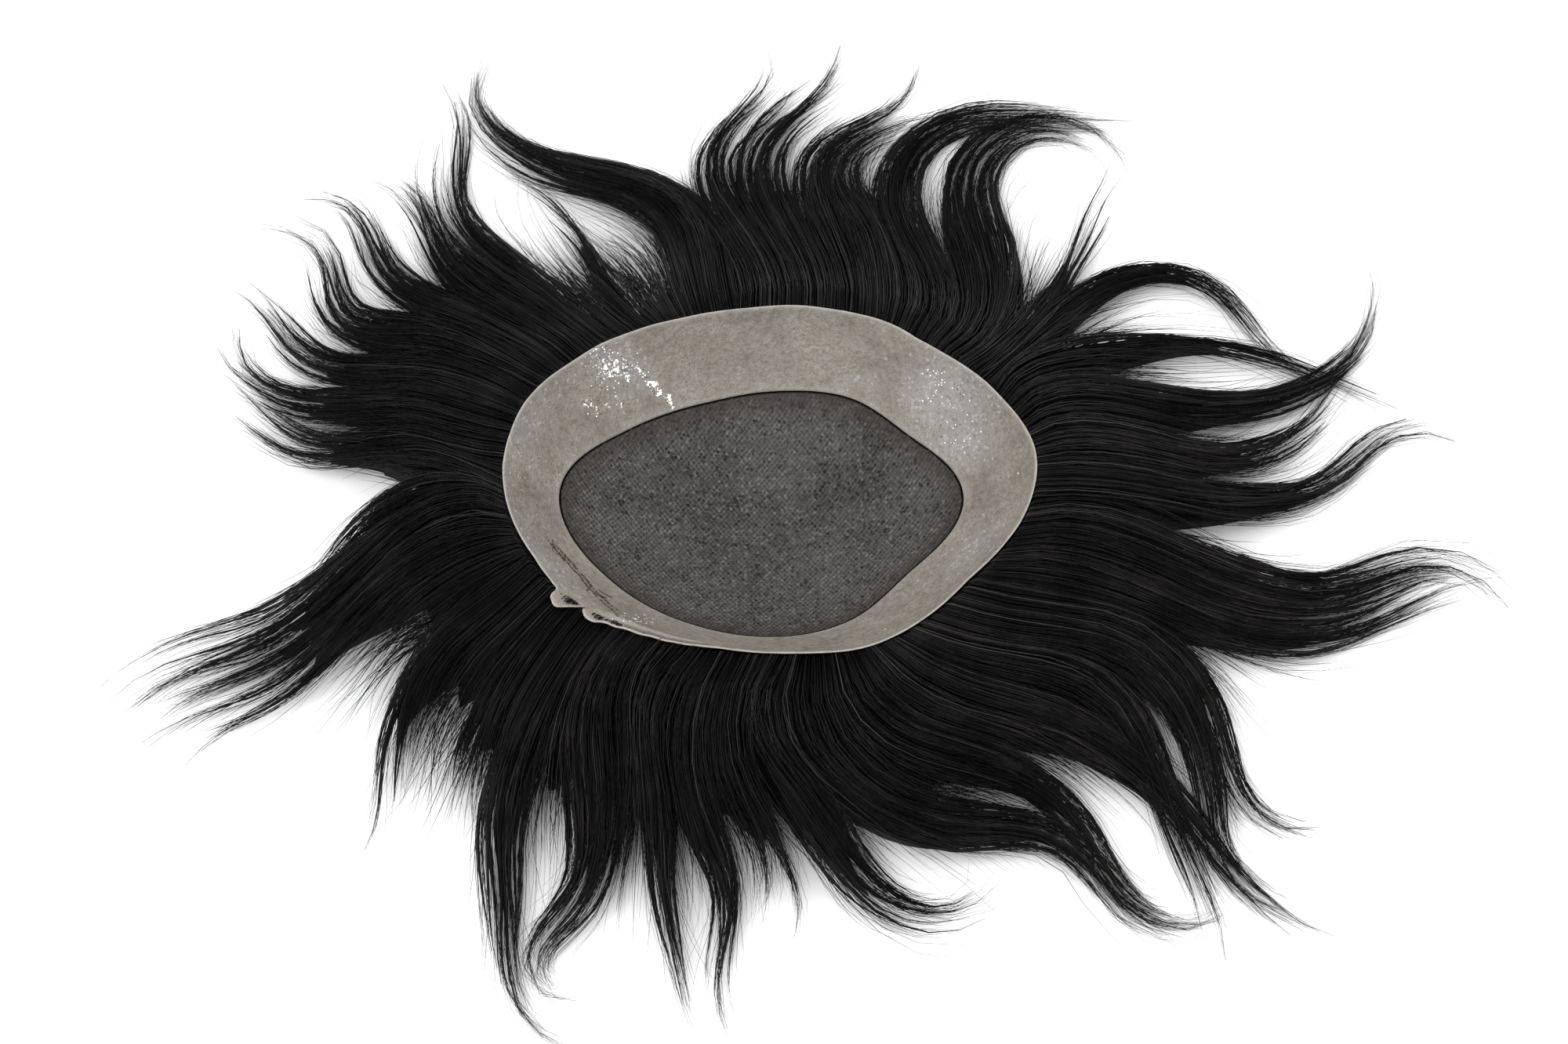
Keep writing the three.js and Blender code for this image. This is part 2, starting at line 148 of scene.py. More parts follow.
def spread(value, low, high, toLow=0.0, toHigh=1.0):
    sockets = {"Value": value, "From Min": low, "From Max": high, "To Min": toLow, "To Max": toHigh}
    return addNode(value.id_data, "ShaderNodeMapRange", sockets, clamp=True).outputs["Result"]


def blend(factor, a, b):
    return addNode(factor.id_data, "ShaderNodeMix", {0: factor, 6: a, 7: b}, data_type="RGBA").outputs[2]


def noise(vector, scale, detail=2.0, rough=0.5):
    sockets = {"Vector": vector, "Scale": scale, "Detail": detail, "Roughness": rough}
    return addNode(vector.id_data, "ShaderNodeTexNoise", sockets).outputs["Fac"]


def place(tree, kind="Object"):
    return addNode(tree, "ShaderNodeTexCoord").outputs[kind]


def attribute(tree, name):
    return addNode(tree, "ShaderNodeAttribute", attribute_name=name).outputs["Fac"]


def colour(red, green, blue):
    return (red, green, blue, 1.0)


def newGroup(name, inputs, outputs):  # a shader group whose sockets are all plain numbers
    tree = bpy.data.node_groups.new(name, "ShaderNodeTree")
    for way, labels in (("INPUT", inputs), ("OUTPUT", outputs)):
        for label in labels:
            tree.interface.new_socket(label, in_out=way, socket_type="NodeSocketFloat")
    return tree, tree.nodes.new("NodeGroupInput").outputs


def makeMottleGroup():  # cloudy patches and a fine grain
    labels = ("Patch Size", "Grain Size", "Grain Share")
    tree, enter = newGroup("mottle", labels, ("Patches", "Grain"))
    patches = noise(place(tree), calc("DIVIDE", 1.0, enter["Patch Size"]), 3.0, 0.6)
    grain = noise(place(tree), calc("DIVIDE", 1.0, enter["Grain Size"]), 2.0, 0.65)
    grain = times(spread(grain, 0.3, 0.7), enter["Grain Share"])
    addNode(tree, "NodeGroupOutput", {"Patches": spread(patches, 0.38, 0.64), "Grain": grain})
    return tree


def makeLinesGroup():  # fine lines that run with the hair, for UV in metres across and along
    tree, enter = newGroup("hairLines", ("Line Width", "Line Length"), ("Lines", "Tone"))
    parts = addNode(tree, "ShaderNodeSeparateXYZ", {"Vector": place(tree, "UV")}).outputs
    across = calc("DIVIDE", parts["X"], enter["Line Width"])
    down = calc("DIVIDE", parts["Y"], enter["Line Length"])
    flow = addNode(tree, "ShaderNodeCombineXYZ", {"X": across, "Y": down}).outputs["Vector"]
    lines, tone = noise(flow, 1.0, 3.0, 0.6), noise(flow, 0.12)
    addNode(tree, "NodeGroupOutput", {"Lines": spread(lines, 0.3, 0.7), "Tone": spread(tone, 0.35, 0.65)})
    return tree


def makeSpeckleGroup():  # scattered dots of two kinds
    tree, enter = newGroup("speckle", ("Cell Size", "Dot Size", "Share"), ("Dots", "Other Dots"))
    scale = calc("DIVIDE", 1.0, enter["Cell Size"])
    cells = addNode(tree, "ShaderNodeTexVoronoi", {"Vector": place(tree), "Scale": scale}).outputs
    dot = spread(calc("SUBTRACT", enter["Dot Size"], cells["Distance"]), 0.0, 0.14)
    limit = calc("SUBTRACT", 1.0, enter["Share"])
    parts = addNode(tree, "ShaderNodeSeparateColor", {"Color": cells["Color"]}).outputs
    dots, others = (times(dot, calc("GREATER_THAN", parts[key], limit)) for key in ("Red", "Green"))
    addNode(tree, "NodeGroupOutput", {"Dots": dots, "Other Dots": others})
    return tree


mottle = makeMottleGroup()
hairLines = makeLinesGroup()
speckle = makeSpeckleGroup()


def mottled(tree, patch, grain, share=1.0):
    sockets = {"Patch Size": patch, "Grain Size": grain, "Grain Share": share}
    return addNode(tree, "ShaderNodeGroup", sockets, node_tree=mottle).outputs


def speckled(tree, cell, dot, share):
    sockets = {"Cell Size": cell, "Dot Size": dot, "Share": share}
    return addNode(tree, "ShaderNodeGroup", sockets, node_tree=speckle).outputs


def newMaterial(name, **constants):
    made = bpy.data.materials.new(name)
    made.use_nodes = True
    shader = made.node_tree.nodes["Principled BSDF"]
    for key, value in constants.items():
        shader.inputs[key.replace("_", " ")].default_value = value
    return made, made.node_tree, shader


def finishShader(shader, base, rough, height=None, depth=0.0):  # height and depth are the bump's
    tree = base.id_data
    tree.links.new(base, shader.inputs["Base Color"])
    tree.links.new(rough, shader.inputs["Roughness"])
    if height:
        bump = addNode(tree, "ShaderNodeBump", {"Height": height, "Distance": depth, "Strength": 1.0})
        tree.links.new(bump.outputs["Normal"], shader.inputs["Normal"])


hairLook = {
    "dark": colour(0.0008, 0.0008, 0.0009),
    # light is the strands' bright end, which paints highlights onto a few of them
    "light": colour(0.036, 0.0325, 0.0315),
    "mass": colour(0.006, 0.0055, 0.0054),
    "shine": 0.09,
    "massShine": 0.1,
    "patch": 0.018,
    "grain": 0.0014,
    "lineWidth": 0.00045,
    "lineLength": 0.03,
    "lineDepth": 0.0005,
}


def makeStrandMaterial():
    made, tree, shader = newMaterial("blackStrand", Specular_IOR_Level=hairLook["shine"])
    cloudy = mottled(tree, hairLook["patch"], hairLook["grain"], 0.3)
    own = attribute(tree, "tone")
    # the strand's own tone, with cloudy patches and grain that paint sheen along it, and bright strands that
    # paint highlights
    tone = plus(plus(own, times(cloudy["Patches"], 0.35)), cloudy["Grain"])
    tone = calc("POWER", spread(tone, 0.1, 1.5), 1.8)
    shade = blend(tone, hairLook["dark"], hairLook["light"])
    finishShader(shader, shade, spread(own, 0.0, 1.0, 0.42, 0.28))
    return made


def makeMassMaterial():
    made, tree, shader = newMaterial("blackMass", Specular_IOR_Level=hairLook["massShine"])
    sockets = {"Line Width": hairLook["lineWidth"], "Line Length": hairLook["lineLength"]}
    flow = addNode(tree, "ShaderNodeGroup", sockets, node_tree=hairLines).outputs
    shade = blend(flow["Lines"], hairLook["dark"], hairLook["mass"])
    shade = blend(times(flow["Tone"], 0.5), shade, hairLook["dark"])
    rough = spread(flow["Lines"], 0.0, 1.0, 0.6, 0.42)
    finishShader(shader, shade, rough, flow["Lines"], hairLook["lineDepth"])
    return made


filmLook = {
    "tan": colour(0.285, 0.255, 0.212),
    "brown": colour(0.105, 0.078, 0.053),
    "olive": colour(0.14, 0.124, 0.078),
    "grain": colour(0.12, 0.096, 0.072),
    "pink": colour(0.31, 0.24, 0.215),
    "pale": colour(0.42, 0.4, 0.37),
    "greyAndSheen": colour(0.3, 0.293, 0.28),
    "dull": colour(0.12, 0.114, 0.105),
    "markAndShade": colour(0.034, 0.021, 0.015),
    "shadow": colour(0.02, 0.014, 0.011),
    "glint": colour(0.95, 0.95, 0.93),
    "mottles": ((0.021, 0.0021), (0.0085, 0.00115), (0.0039, 0.0006)),  # patch and grain sizes
    "dashScale": 850.0,
    "glintBlobScale": 520.0,
    "bumpDepth": 0.00014,
}


def filmLines(tree):  # two broken lines, by the distance from the first in millimetres, and the painted shade in the groove beside the fold
    away = attribute(tree, "away")
    first = spread(calc("ABSOLUTE", away), 0.6, 0.32)
    second = spread(calc("ABSOLUTE", calc("SUBTRACT", away, 1.5)), 0.55, 0.28)
    dashes = spread(noise(place(tree), filmLook["dashScale"], 1.0), 0.41, 0.5)
    inked = times(times(calc("MAXIMUM", first, second), dashes), attribute(tree, "inked"))
    return calc("MAXIMUM", attribute(tree, "grooveShade"), inked)


def makeFilmMaterial():
    made, tree, shader = newMaterial("clearFilm", Specular_IOR_Level=0.4, Coat_Roughness=0.16)
    broad, middle, fibres = (mottled(tree, *sizes) for sizes in filmLook["mottles"])
    shimmer, sheenAndGreyPatch = attribute(tree, "crinkle"), attribute(tree, "sheenAndGreyPatch")
    green = spread(calc("SUBTRACT", middle["Patches"], broad["Patches"]), 0.0, 0.8)
    grain = plus(middle["Grain"], fibres["Grain"])
    # paler along the band's edges, with a painted highlight on the fold's ridge
    paleEdgeAndFoldHighlight = times(attribute(tree, "edge"), spread(fibres["Patches"], 0.0, 1.0, 0.95, 0.6))
    soft = speckled(tree, 0.00115, 0.6, times(sheenAndGreyPatch, 0.5))
    # painted glints: fine white dots and blobs where the film is crinkled
    fine = speckled(tree, 0.0009, 0.42, times(times(shimmer, shimmer), 0.5))
    glintBlobs = plus(noise(place(tree), filmLook["glintBlobScale"], 3.0, 0.62), times(shimmer, 0.19))
    glint = calc("MAXIMUM", fine["Dots"], spread(glintBlobs, 0.735, 0.765))
    layers = [
        (broad["Patches"], "brown"),
        (green, "olive"),
        (times(fibres["Patches"], 0.22), "greyAndSheen"),
        (spread(grain, 0.5, 1.45, 0.0, 0.9), "grain"),
        (times(broad["Grain"], 0.42), "greyAndSheen"),
        # painted sheen, with greyer film, in the sheen patches
        (times(sheenAndGreyPatch, 0.6), "greyAndSheen"),
        (times(attribute(tree, "frill"), 0.75), "pink"),
        (paleEdgeAndFoldHighlight, "pale"),
        (filmLines(tree), "markAndShade"),
        (times(soft["Dots"], 0.42), "pale"),
        (times(soft["Other Dots"], 0.4), "dull"),
        (times(fine["Other Dots"], 0.8), "markAndShade"),
        (glint, "glint"),
        (attribute(tree, "under"), "shadow"),
    ]
    base = filmLook["tan"]
    for share, paint in layers:
        base = blend(share, base, filmLook[paint])
    matt = calc("SUBTRACT", spread(middle["Grain"], 0.0, 1.0, 0.4, 0.56), times(shimmer, 0.2))
    bumps = plus(times(glint, 1.5), times(grain, 0.8))
    finishShader(shader, base, matt, bumps, filmLook["bumpDepth"])
    tree.links.new(times(shimmer, 0.6), shader.inputs["Coat Weight"])
    return made


netLook = {
    "cloth": (colour(0.012, 0.011, 0.0105), colour(0.1, 0.096, 0.092)),  # dark and light
    "thread": (colour(0.03, 0.028, 0.027), colour(0.24, 0.232, 0.224)),
    "border": colour(0.045, 0.034, 0.028),
    "jointShadow": colour(0.003, 0.0025, 0.0025),
    "clothRough": 0.9,
    "threadRough": 0.6,
    "bumpDepth": 0.0002,
}


def makeNetMaterial(name, dark, light, rough):  # the tone attribute is the net's border
    made, tree, shader = newMaterial(name, Specular_IOR_Level=0.2)
    cloudy, streaks = mottled(tree, 0.024, 0.0011), mottled(tree, 0.0075, 0.0023)
    dots = speckled(tree, 0.00135, 0.55, 0.3)
    tone = plus(times(cloudy["Patches"], 0.4), cloudy["Grain"])
    tone = plus(tone, times(streaks["Patches"], 0.25))
    tone = plus(tone, times(dots["Dots"], 0.9))
    tone = calc("SUBTRACT", tone, times(dots["Other Dots"], 0.7))
    shade = blend(spread(tone, 0.0, 1.9), dark, light)
    shade = blend(times(attribute(tree, "tone"), 0.65), shade, netLook["border"])
    # the painted shadow where the net goes under the film
    shade = blend(attribute(tree, "jointShadow"), shade, netLook["jointShadow"])
    matt = spread(cloudy["Grain"], 0.0, 1.0, rough, rough - 0.2)
    finishShader(shader, shade, matt, cloudy["Grain"], netLook["bumpDepth"])
    return made


strandMaterial = makeStrandMaterial()
massMaterial = makeMassMaterial()
filmMaterial = makeFilmMaterial()
clothMaterial = makeNetMaterial("netCloth", *netLook["cloth"], netLook["clothRough"])
threadMaterial = makeNetMaterial("netThread", *netLook["thread"], netLook["threadRough"])
print("materials made")


# Mesh helpers
def addObject(name, data):
    made = bpy.data.objects.new(name, data)
    bpy.context.scene.collection.objects.link(made)
    return made


def setValues(mesh, values):  # numbers on the points, by name
    for key, column in values.items():
        mesh.attributes.new(key, "FLOAT", "POINT").data.foreach_set("value", column.astype(np.float32))


def meshObject(name, points, faces, material, values=None, uv=None):
    mesh = bpy.data.meshes.new(name)
    mesh.from_pydata(points.tolist(), [], faces.tolist())
    mesh.materials.append(material)
    mesh.polygons.foreach_set("use_smooth", [True] * len(mesh.polygons))
    setValues(mesh, values or {})
    if uv is not None:
        corners = np.empty(len(mesh.loops), int)
        mesh.loops.foreach_get("vertex_index", corners)
        mesh.uv_layers.new(name="flow").data.foreach_set("uv", uv[corners].astype(np.float32).ravel())
    return addObject(name, mesh)


def closeMesh(piece):  # joins the doubles at closed middles and turns every face outwards
    made = bmesh.new()
    made.from_mesh(piece.data)
    bmesh.ops.remove_doubles(made, verts=made.verts, dist=1e-6)
    bmesh.ops.dissolve_degenerate(made, edges=made.edges, dist=1e-7)
    bmesh.ops.recalc_face_normals(made, faces=made.faces)
    made.to_mesh(piece.data)
    made.free()
    return piece


def dress(piece, slotName, *nodes):
    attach(piece, "root")
    if nodes:
        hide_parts(*nodes)
    return piece


def raised(flat, high):  # points in plan with their heights
    return np.concatenate([flat, high[..., None]], -1)


def stripFaces(first, second, closed):  # quads between two rows of vertex numbers
    a, b = (np.append(row, row[:1]) if closed else row for row in (first, second))
    return np.stack([a[:-1], b[:-1], b[1:], a[1:]], 1)


def polarWall(name, degrees, radius, top, bottom, material, masks=None, flow=None):
    # A closed wall from rings of points round the middle; the arrays are rings by angles. A first
    # radius of zero closes the middle, otherwise an inner edge does.
    rings, count = radius.shape
    flat = onCircle(degrees[None, :], radius)
    points = np.concatenate([raised(flat, top).reshape(-1, 3), raised(flat, bottom).reshape(-1, 3)])
    index = np.arange(rings * count).reshape(rings, count)
    low = index + rings * count
    faces = [stripFaces(index[i], index[i + 1], True) for i in range(rings - 1)]
    faces += [stripFaces(low[i + 1], low[i], True) for i in range(rings - 1)]
    faces.append(stripFaces(index[-1], low[-1], True))
    if radius[0, 0] > 0:
        faces.append(stripFaces(low[0], index[0], True))
    values = {key: np.resize(mask, 2 * radius.size) for key, mask in (masks or {}).items()}
    uv = None if flow is None else np.resize(flow, (2 * radius.size, 2))
    return closeMesh(meshObject(name, points, np.concatenate(faces), material, values, uv))


def slab(top, bottom):  # a closed body between two grids of points
    rows, columns = top.shape[:2]
    index = np.arange(rows * columns).reshape(rows, columns)
    low = index + rows * columns
    faces = [stripFaces(index[i], index[i + 1], False) for i in range(rows - 1)]
    faces += [stripFaces(low[i + 1], low[i], False) for i in range(rows - 1)]
    faces += [stripFaces(low[0], index[0], False), stripFaces(index[-1], low[-1], False)]
    faces += [stripFaces(index[:, 0], low[:, 0], False), stripFaces(low[:, -1], index[:, -1], False)]
    return np.concatenate([top.reshape(-1, 3), bottom.reshape(-1, 3)]), np.concatenate(faces)


def makeSweepTree():  # draws a round wall along every line of a mesh, as wide as its points say
    tree = bpy.data.node_groups.new("sweepStrands", "GeometryNodeTree")
    sockets = {"Geometry": "NodeSocketGeometry", "Strand Radius": "NodeSocketFloat"}
    sockets.update({"Sides": "NodeSocketInt", "Finish": "NodeSocketMaterial"})
    names = {}
    for label, kind in sockets.items():
        names[label] = tree.interface.new_socket(label, in_out="INPUT", socket_type=kind).identifier
    tree.interface.new_socket("Geometry", in_out="OUTPUT", socket_type="NodeSocketGeometry")
    enter = tree.nodes.new("NodeGroupInput").outputs
    lines = addNode(tree, "GeometryNodeMeshToCurve", {"Mesh": enter["Geometry"]})
    ringSize = {"Resolution": enter["Sides"], "Radius": enter["Strand Radius"]}
    ring = addNode(tree, "GeometryNodeCurvePrimitiveCircle", ringSize)
    thick = addNode(tree, "GeometryNodeInputNamedAttribute", {"Name": "thick"}, data_type="FLOAT")
    swept = {"Curve": lines.outputs["Curve"], "Profile Curve": ring.outputs["Curve"]}
    swept.update({"Scale": thick.outputs["Attribute"], "Fill Caps": True})
    wall = addNode(tree, "GeometryNodeCurveToMesh", swept)
    smooth = addNode(tree, "GeometryNodeSetShadeSmooth", {"Geometry": wall.outputs["Mesh"]})
    whole = addNode(tree, "GeometryNodeRealizeInstances", {"Geometry": smooth.outputs["Geometry"]})
    painted = {"Geometry": whole.outputs["Geometry"], "Material": enter["Finish"]}
    paint = addNode(tree, "GeometryNodeSetMaterial", painted)
    addNode(tree, "NodeGroupOutput", {"Geometry": paint.outputs["Geometry"]})
    return tree, names


sweepTree, sweepInputs = makeSweepTree()


def sweepLines(name, bunches, radius, sides, material):
    # bunches holds dictionaries of lines by points: "at" with x, y, z, and "thick" and "tone"
    columns, edges, start = {"thick": [], "tone": []}, [], 0
    for bunch in bunches:
        shape = bunch["at"].shape[:2]
        index = start + np.arange(shape[0] * shape[1]).reshape(shape)
        edges.append(np.stack([index[:, :-1].ravel(), index[:, 1:].ravel()], 1))
        for key, column in columns.items():
            column.append(np.broadcast_to(bunch[key], shape).ravel())
        start += index.size
    points = np.concatenate([bunch["at"].reshape(-1, 3) for bunch in bunches])
    mesh = bpy.data.meshes.new(name + "_lines")
    mesh.from_pydata(points.tolist(), np.concatenate(edges).tolist(), [])
    setValues(mesh, {key: np.concatenate(column) for key, column in columns.items()})
    lines = addObject(name + "_lines", mesh)
    sweep = lines.modifiers.new("sweep", "NODES")
    sweep.node_group = sweepTree
    for label, value in (("Strand Radius", radius), ("Sides", sides), ("Finish", material)):
        sweep[sweepInputs[label]] = value
    graph = bpy.context.evaluated_depsgraph_get()
    drawn = lines.evaluated_get(graph)
    plain = bpy.data.meshes.new_from_object(drawn, preserve_all_data_layers=True, depsgraph=graph)
    lines.modifiers.remove(sweep)
    bpy.data.objects.remove(lines)
    plain.name = name
    return addObject(name, plain)


# The hair's sizes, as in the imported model
hair = {
    "length": 0.16,
    "lockWidth": 0.021,
    "lockThickness": 0.005,
    "tipWidth": 0.0018,
    "tipThickness": 0.0014,
    "fallPower": 2.2,
    "strandRadius": 0.0002,
    "strandLowest": 0.00035,
    "rootTuck": 0.003,  # how far inside the rim a strand starts
    "wholePerLock": 100,  # strands from root to tip, on a lock of full width
    "tipsPerLock": 152,  # strands that join it further out
    "massPerDegree": 5.0,
    "betweenPerDegree": 5.5,
    "fringePerDegree": 9.0,
    "strayPerDegree": 2.0,
    "beyond": 1.2,  # degrees that the mass's strands run on past a region
    "spineShare": 0.42,  # radius of a bunch's dense middle, of its part of the lock's width
    "spineStart": 0.12,
    "wave": 0.0008,
    "waveLength": 0.055,
    "fineWaveLength": 0.031,
    "massWave": 0.0009,
    "massWaveLength": 0.045,
    "splay": (0.0007, 0.0024),  # how far strands part at the tip, neat and loose ones
    "mostSplay": 0.011,
    "looseShare": 0.3,
    "longShare": 0.1,  # strands that run on past their bunch
}
lockTaper = {
    "along": (0, 0.2, 0.42, 0.68, 0.86, 1),
    "width": (0.62, 0.85, 0.95, 0.55, 0.22, 0),
    "thickness": (1, 1, 1, 0.8, 0.5, 0),
}
massProfile = {"share": (0, 0.4, 0.78, 1), "high": (0.94, 0.9, 0.78, 0)}

# A lock starts on the rim at an angle; turn is its heading against that angle at five evenly spaced
# places from root to tip. long and wide are shares of the hair's sizes, bunches how many it parts
# into, and fan how far those part at the tip.
lockColumns = ("at", "turn", "long", "wide", "bunches", "fan")
regions = [
    {"node": "hair_back", "from": -7, "to": 29.5, "locks": [
        (-1, (28, 5, 14, 46, -25), 1.04, 0.62, 3, 0.003),
        (8, (45, -5, 0, 35, 60), 0.88, 0.66, 3, 0.003),
        (16, (50, -11, -4, 29, 80), 1.13, 0.75, 4, 0.003),
        (23, (50, 5, -15, -45, -50), 1.06, 0.4, 2, 0.003),
        (27, (30, 30, -5, -85, -45), 1.14, 0.5, 3, 0.002),
    ]},
    {"node": "hair_left_rear", "from": 29.5, "to": 98, "locks": [
        (32, (20, 25, 35, 35, 30), 0.84, 0.4, 2, 0.003),
        (38, (10, 51, 57, -15, -115), 1.16, 1.2, 5, 0.003),
        (49, (15, 59, 20, -50, -42), 1.27, 0.85, 4, 0.002),
        (60, (25, 35, 50, -25, -55), 0.93, 0.9, 4, 0.003),
        (69, (15, 35, 25, -35, 25), 0.97, 0.8, 3, 0.004),
        (80, (5, 30, 15, -35, 10), 1.0, 1.0, 4, 0.005),
        (90, (-5, 22, 13, -40, 20), 0.98, 0.7, 3, 0.006),
    ]},
    {"node": "hair_left_front", "from": 98, "to": 185, "locks": [
        (107, (-10, -4, 51, 29, -44), 1.18, 1.1, 4, 0.0015),
        (122, (0, -4, -8, 6, 28), 0.69, 0.3, 2, 0.003),
        (133, (-7, -7, -5, -45, -8), 1.05, 0.4, 2, 0.002),
        (138, (-15, -10, -5, -30, -65), 0.89, 0.6, 3, 0.003),
        (144, (-25, -10, -15, -35, 15), 0.88, 0.6, 3, 0.0025),
        (150, (-30, -13, -10, -40, 38), 0.97, 0.8, 4, 0.003),
        (155, (-25, -17, 9, -52, 30), 0.96, 1.05, 4, 0.003),
        (162, (-35, -17, 9, -36, -22), 0.9, 0.85, 3, 0.003),
        (168, (-25, -20, 4, -25, -75), 0.86, 0.8, 3, 0.003),
        (176, (-22, -32, 2, -32, -34), 0.75, 0.7, 3, 0.005),
        (182, (-48, -40, -26, -18, -42), 0.57, 0.4, 3, 0.004),
    ]},
    {"node": "hair_right_front", "from": 185, "to": 269.5, "locks": [
        (186, (-55, -26, 16, 48, 34), 0.57, 0.8, 3, 0.002),
        (188, (-60, 20, 30, 9, 50), 0.95, 0.9, 5, 0.009),
        (195, (-46, 11, 28, 6, 27), 0.88, 0.75, 4, 0.008),
        (204, (10, 4, 42, 64, 40), 0.66, 0.5, 2, 0.003),
        (215, (0, 10, 24, 40, 50), 0.44, 0.75, 3, 0.004),
        (223, (0, 20, 50, 57, 118), 0.92, 0.8, 4, 0.0012),
        (232, (-20, 40, 34, 0, 160), 0.8, 0.9, 4, 0.002),
        (239, (-25, 30, 30, 20, 25), 0.55, 0.25, 2, 0.003),
        (247, (-35, 28, 27, 35, 50), 0.75, 0.6, 3, 0.001),
        (256, (-25, 15, 37, 6, 38), 0.73, 0.6, 3, 0.001),
        (265, (-30, 5, 35, 20, -20), 0.53, 0.5, 3, 0.004),
    ]},
    {"node": "hair_right_rear", "from": 269.5, "to": 353, "locks": [
        (274, (-50, 32, 31, 72, 150), 0.78, 0.8, 4, 0.003),
        (283, (-20, 45, 79, 24, 118), 1.06, 0.8, 4, 0.002),
        (292, (-5, 60, 36, 5, 90), 0.9, 0.6, 3, 0.002),
        (302, (30, 52, 20, 3, 36), 1.05, 0.8, 4, 0.002),
        (310, (44, 50, -16, -20, -32), 1.02, 0.7, 3, 0.003),
        (318, (40, 45, -15, -44, 30), 1.03, 0.8, 3, 0.003),
        (326, (35, 38, -18, -40, 62), 0.96, 0.8, 4, 0.003),
        (335, (55, 12, 17, 52, 35), 1.12, 0.8, 4, 0.004),
        (345, (50, 2, 11, 38, -68), 1.13, 1.15, 4, 0.003),
    ]},
]


def taper(column, share):
    return np.interp(share, lockTaper["along"], lockTaper[column])


def rootDistance(flat, degrees):
    return np.linalg.norm(flat - onCircle(degrees, rimRadius(degrees))[:, None], axis=-1)


def fallHeight(degrees, distance, lying):  # the hair's top, a distance out from the rim
    root = cupHeight(degrees, 1.0) - cup["skinWall"] - cup["clearance"]
    share = np.maximum(0, 1 - distance / hair["length"])
    return (root - lying) * share ** hair["fallPower"] + lying


def hairTop(flat, degrees, lying):  # the same for lines in plan that start at these angles
    return fallHeight(degrees[:, None], rootDistance(flat, degrees), lying)


runSteps = 64


def lockRun(row):  # points in plan from the rim to the tip, and the sideways direction at each
    share = np.linspace(0, 1, runSteps + 1)
    heading = np.radians(row["at"] + along(row["turn"], share))
    way = np.stack([np.cos(heading), np.sin(heading)], 1)
    step = row["long"] * hair["length"] / runSteps
    walked = np.concatenate([np.zeros((1, 2)), np.cumsum(way[:-1] * step, 0)])
    side = np.stack([-way[:, 1], way[:, 0]], 1)
    return onCircle(row["at"], rimRadius(row["at"])) + walked, side


def readRun(run, share):  # run by lines, share by lines and points
    where = np.maximum(share, 0) * runSteps
    first = np.minimum(where.astype(int), runSteps - 1)
    a = np.take_along_axis(run, first[..., None], 1)
    b = np.take_along_axis(run, first[..., None] + 1, 1)
    return a + (b - a) * (where - first)[..., None]


def prepare(region):
    region["rows"] = [dict(zip(lockColumns, row)) for row in region["locks"]]
    runs, sides = zip(*(lockRun(row) for row in region["rows"]))
    region.update(runs=np.array(runs), sides=np.array(sides))
    region["angles"] = np.array([row["at"] for row in region["rows"]], float)


def fannedPath(region, degrees, share):
    # The way a strand takes between the two locks beside it, and its sideways direction
    angles = region["angles"]
    where = np.interp(degrees, angles, np.arange(len(angles)))
    first = np.minimum(where.astype(int), len(angles) - 2)
    mix = (where - first)[:, None, None]
    runs, sides = region["runs"] - region["runs"][:, :1], region["sides"]
    path = readRun(runs[first], share) * (1 - mix) + readRun(runs[first + 1], share) * mix
    side = readRun(sides[first], share) * (1 - mix) + readRun(sides[first + 1], share) * mix
    side /= np.maximum(np.linalg.norm(side, axis=-1, keepdims=True), 1e-6)
    return onCircle(degrees, rimRadius(degrees))[:, None] + path, side


def lengthAt(region, degrees):
    return np.interp(degrees, region["angles"], [row["long"] for row in region["rows"]]) * hair["length"]


def tuckRoot(at, degrees):  # puts one more point on each strand, under the film just inside the rim
    share = 1 - hair["rootTuck"] / rimRadius(degrees)
    flat = onCircle(degrees, share * rimRadius(degrees))
    under = (cup["skinWall"] + 2 * cup["clearance"]) * slopeFactor(degrees, share)
    high = np.minimum(cupHeight(degrees, share) - under, at[:, 0, 2])
    return np.concatenate([raised(flat, high)[:, None], at], 1)


def linesOf(flat, high, thick, tone, tuckedAt=None):
    at = raised(flat, np.maximum(high, hair["strandLowest"]))
    if tuckedAt is not None:
        at = tuckRoot(at, tuckedAt)
        thick = np.concatenate([thick[:, :1], thick], 1)
    return {"at": at, "thick": thick, "tone": tone[:, None]}


def strandThickness(share, size):  # share of the strand's own length
    return size[:, None] * (1 - 0.42 * easeIn(share, 0.2, 0.85) - 0.5 * share**5)


def strandTone(middle, count, rng):  # mostly dark, with a few bright ones painted as highlights
    tone = middle + rng.normal(0, 0.2, count) + (rng.random(count) < 0.07) * 0.8
    return np.clip(tone, 0, 1.5)


def spreadShares(start, reach, steps, bias=1.0):
    return start[:, None] + (reach - start)[:, None] * np.linspace(0, 1, steps)[None] ** bias


def waving(size, length, share, walked, phase):
    return size * share * np.sin(2 * np.pi * (walked / length + phase))


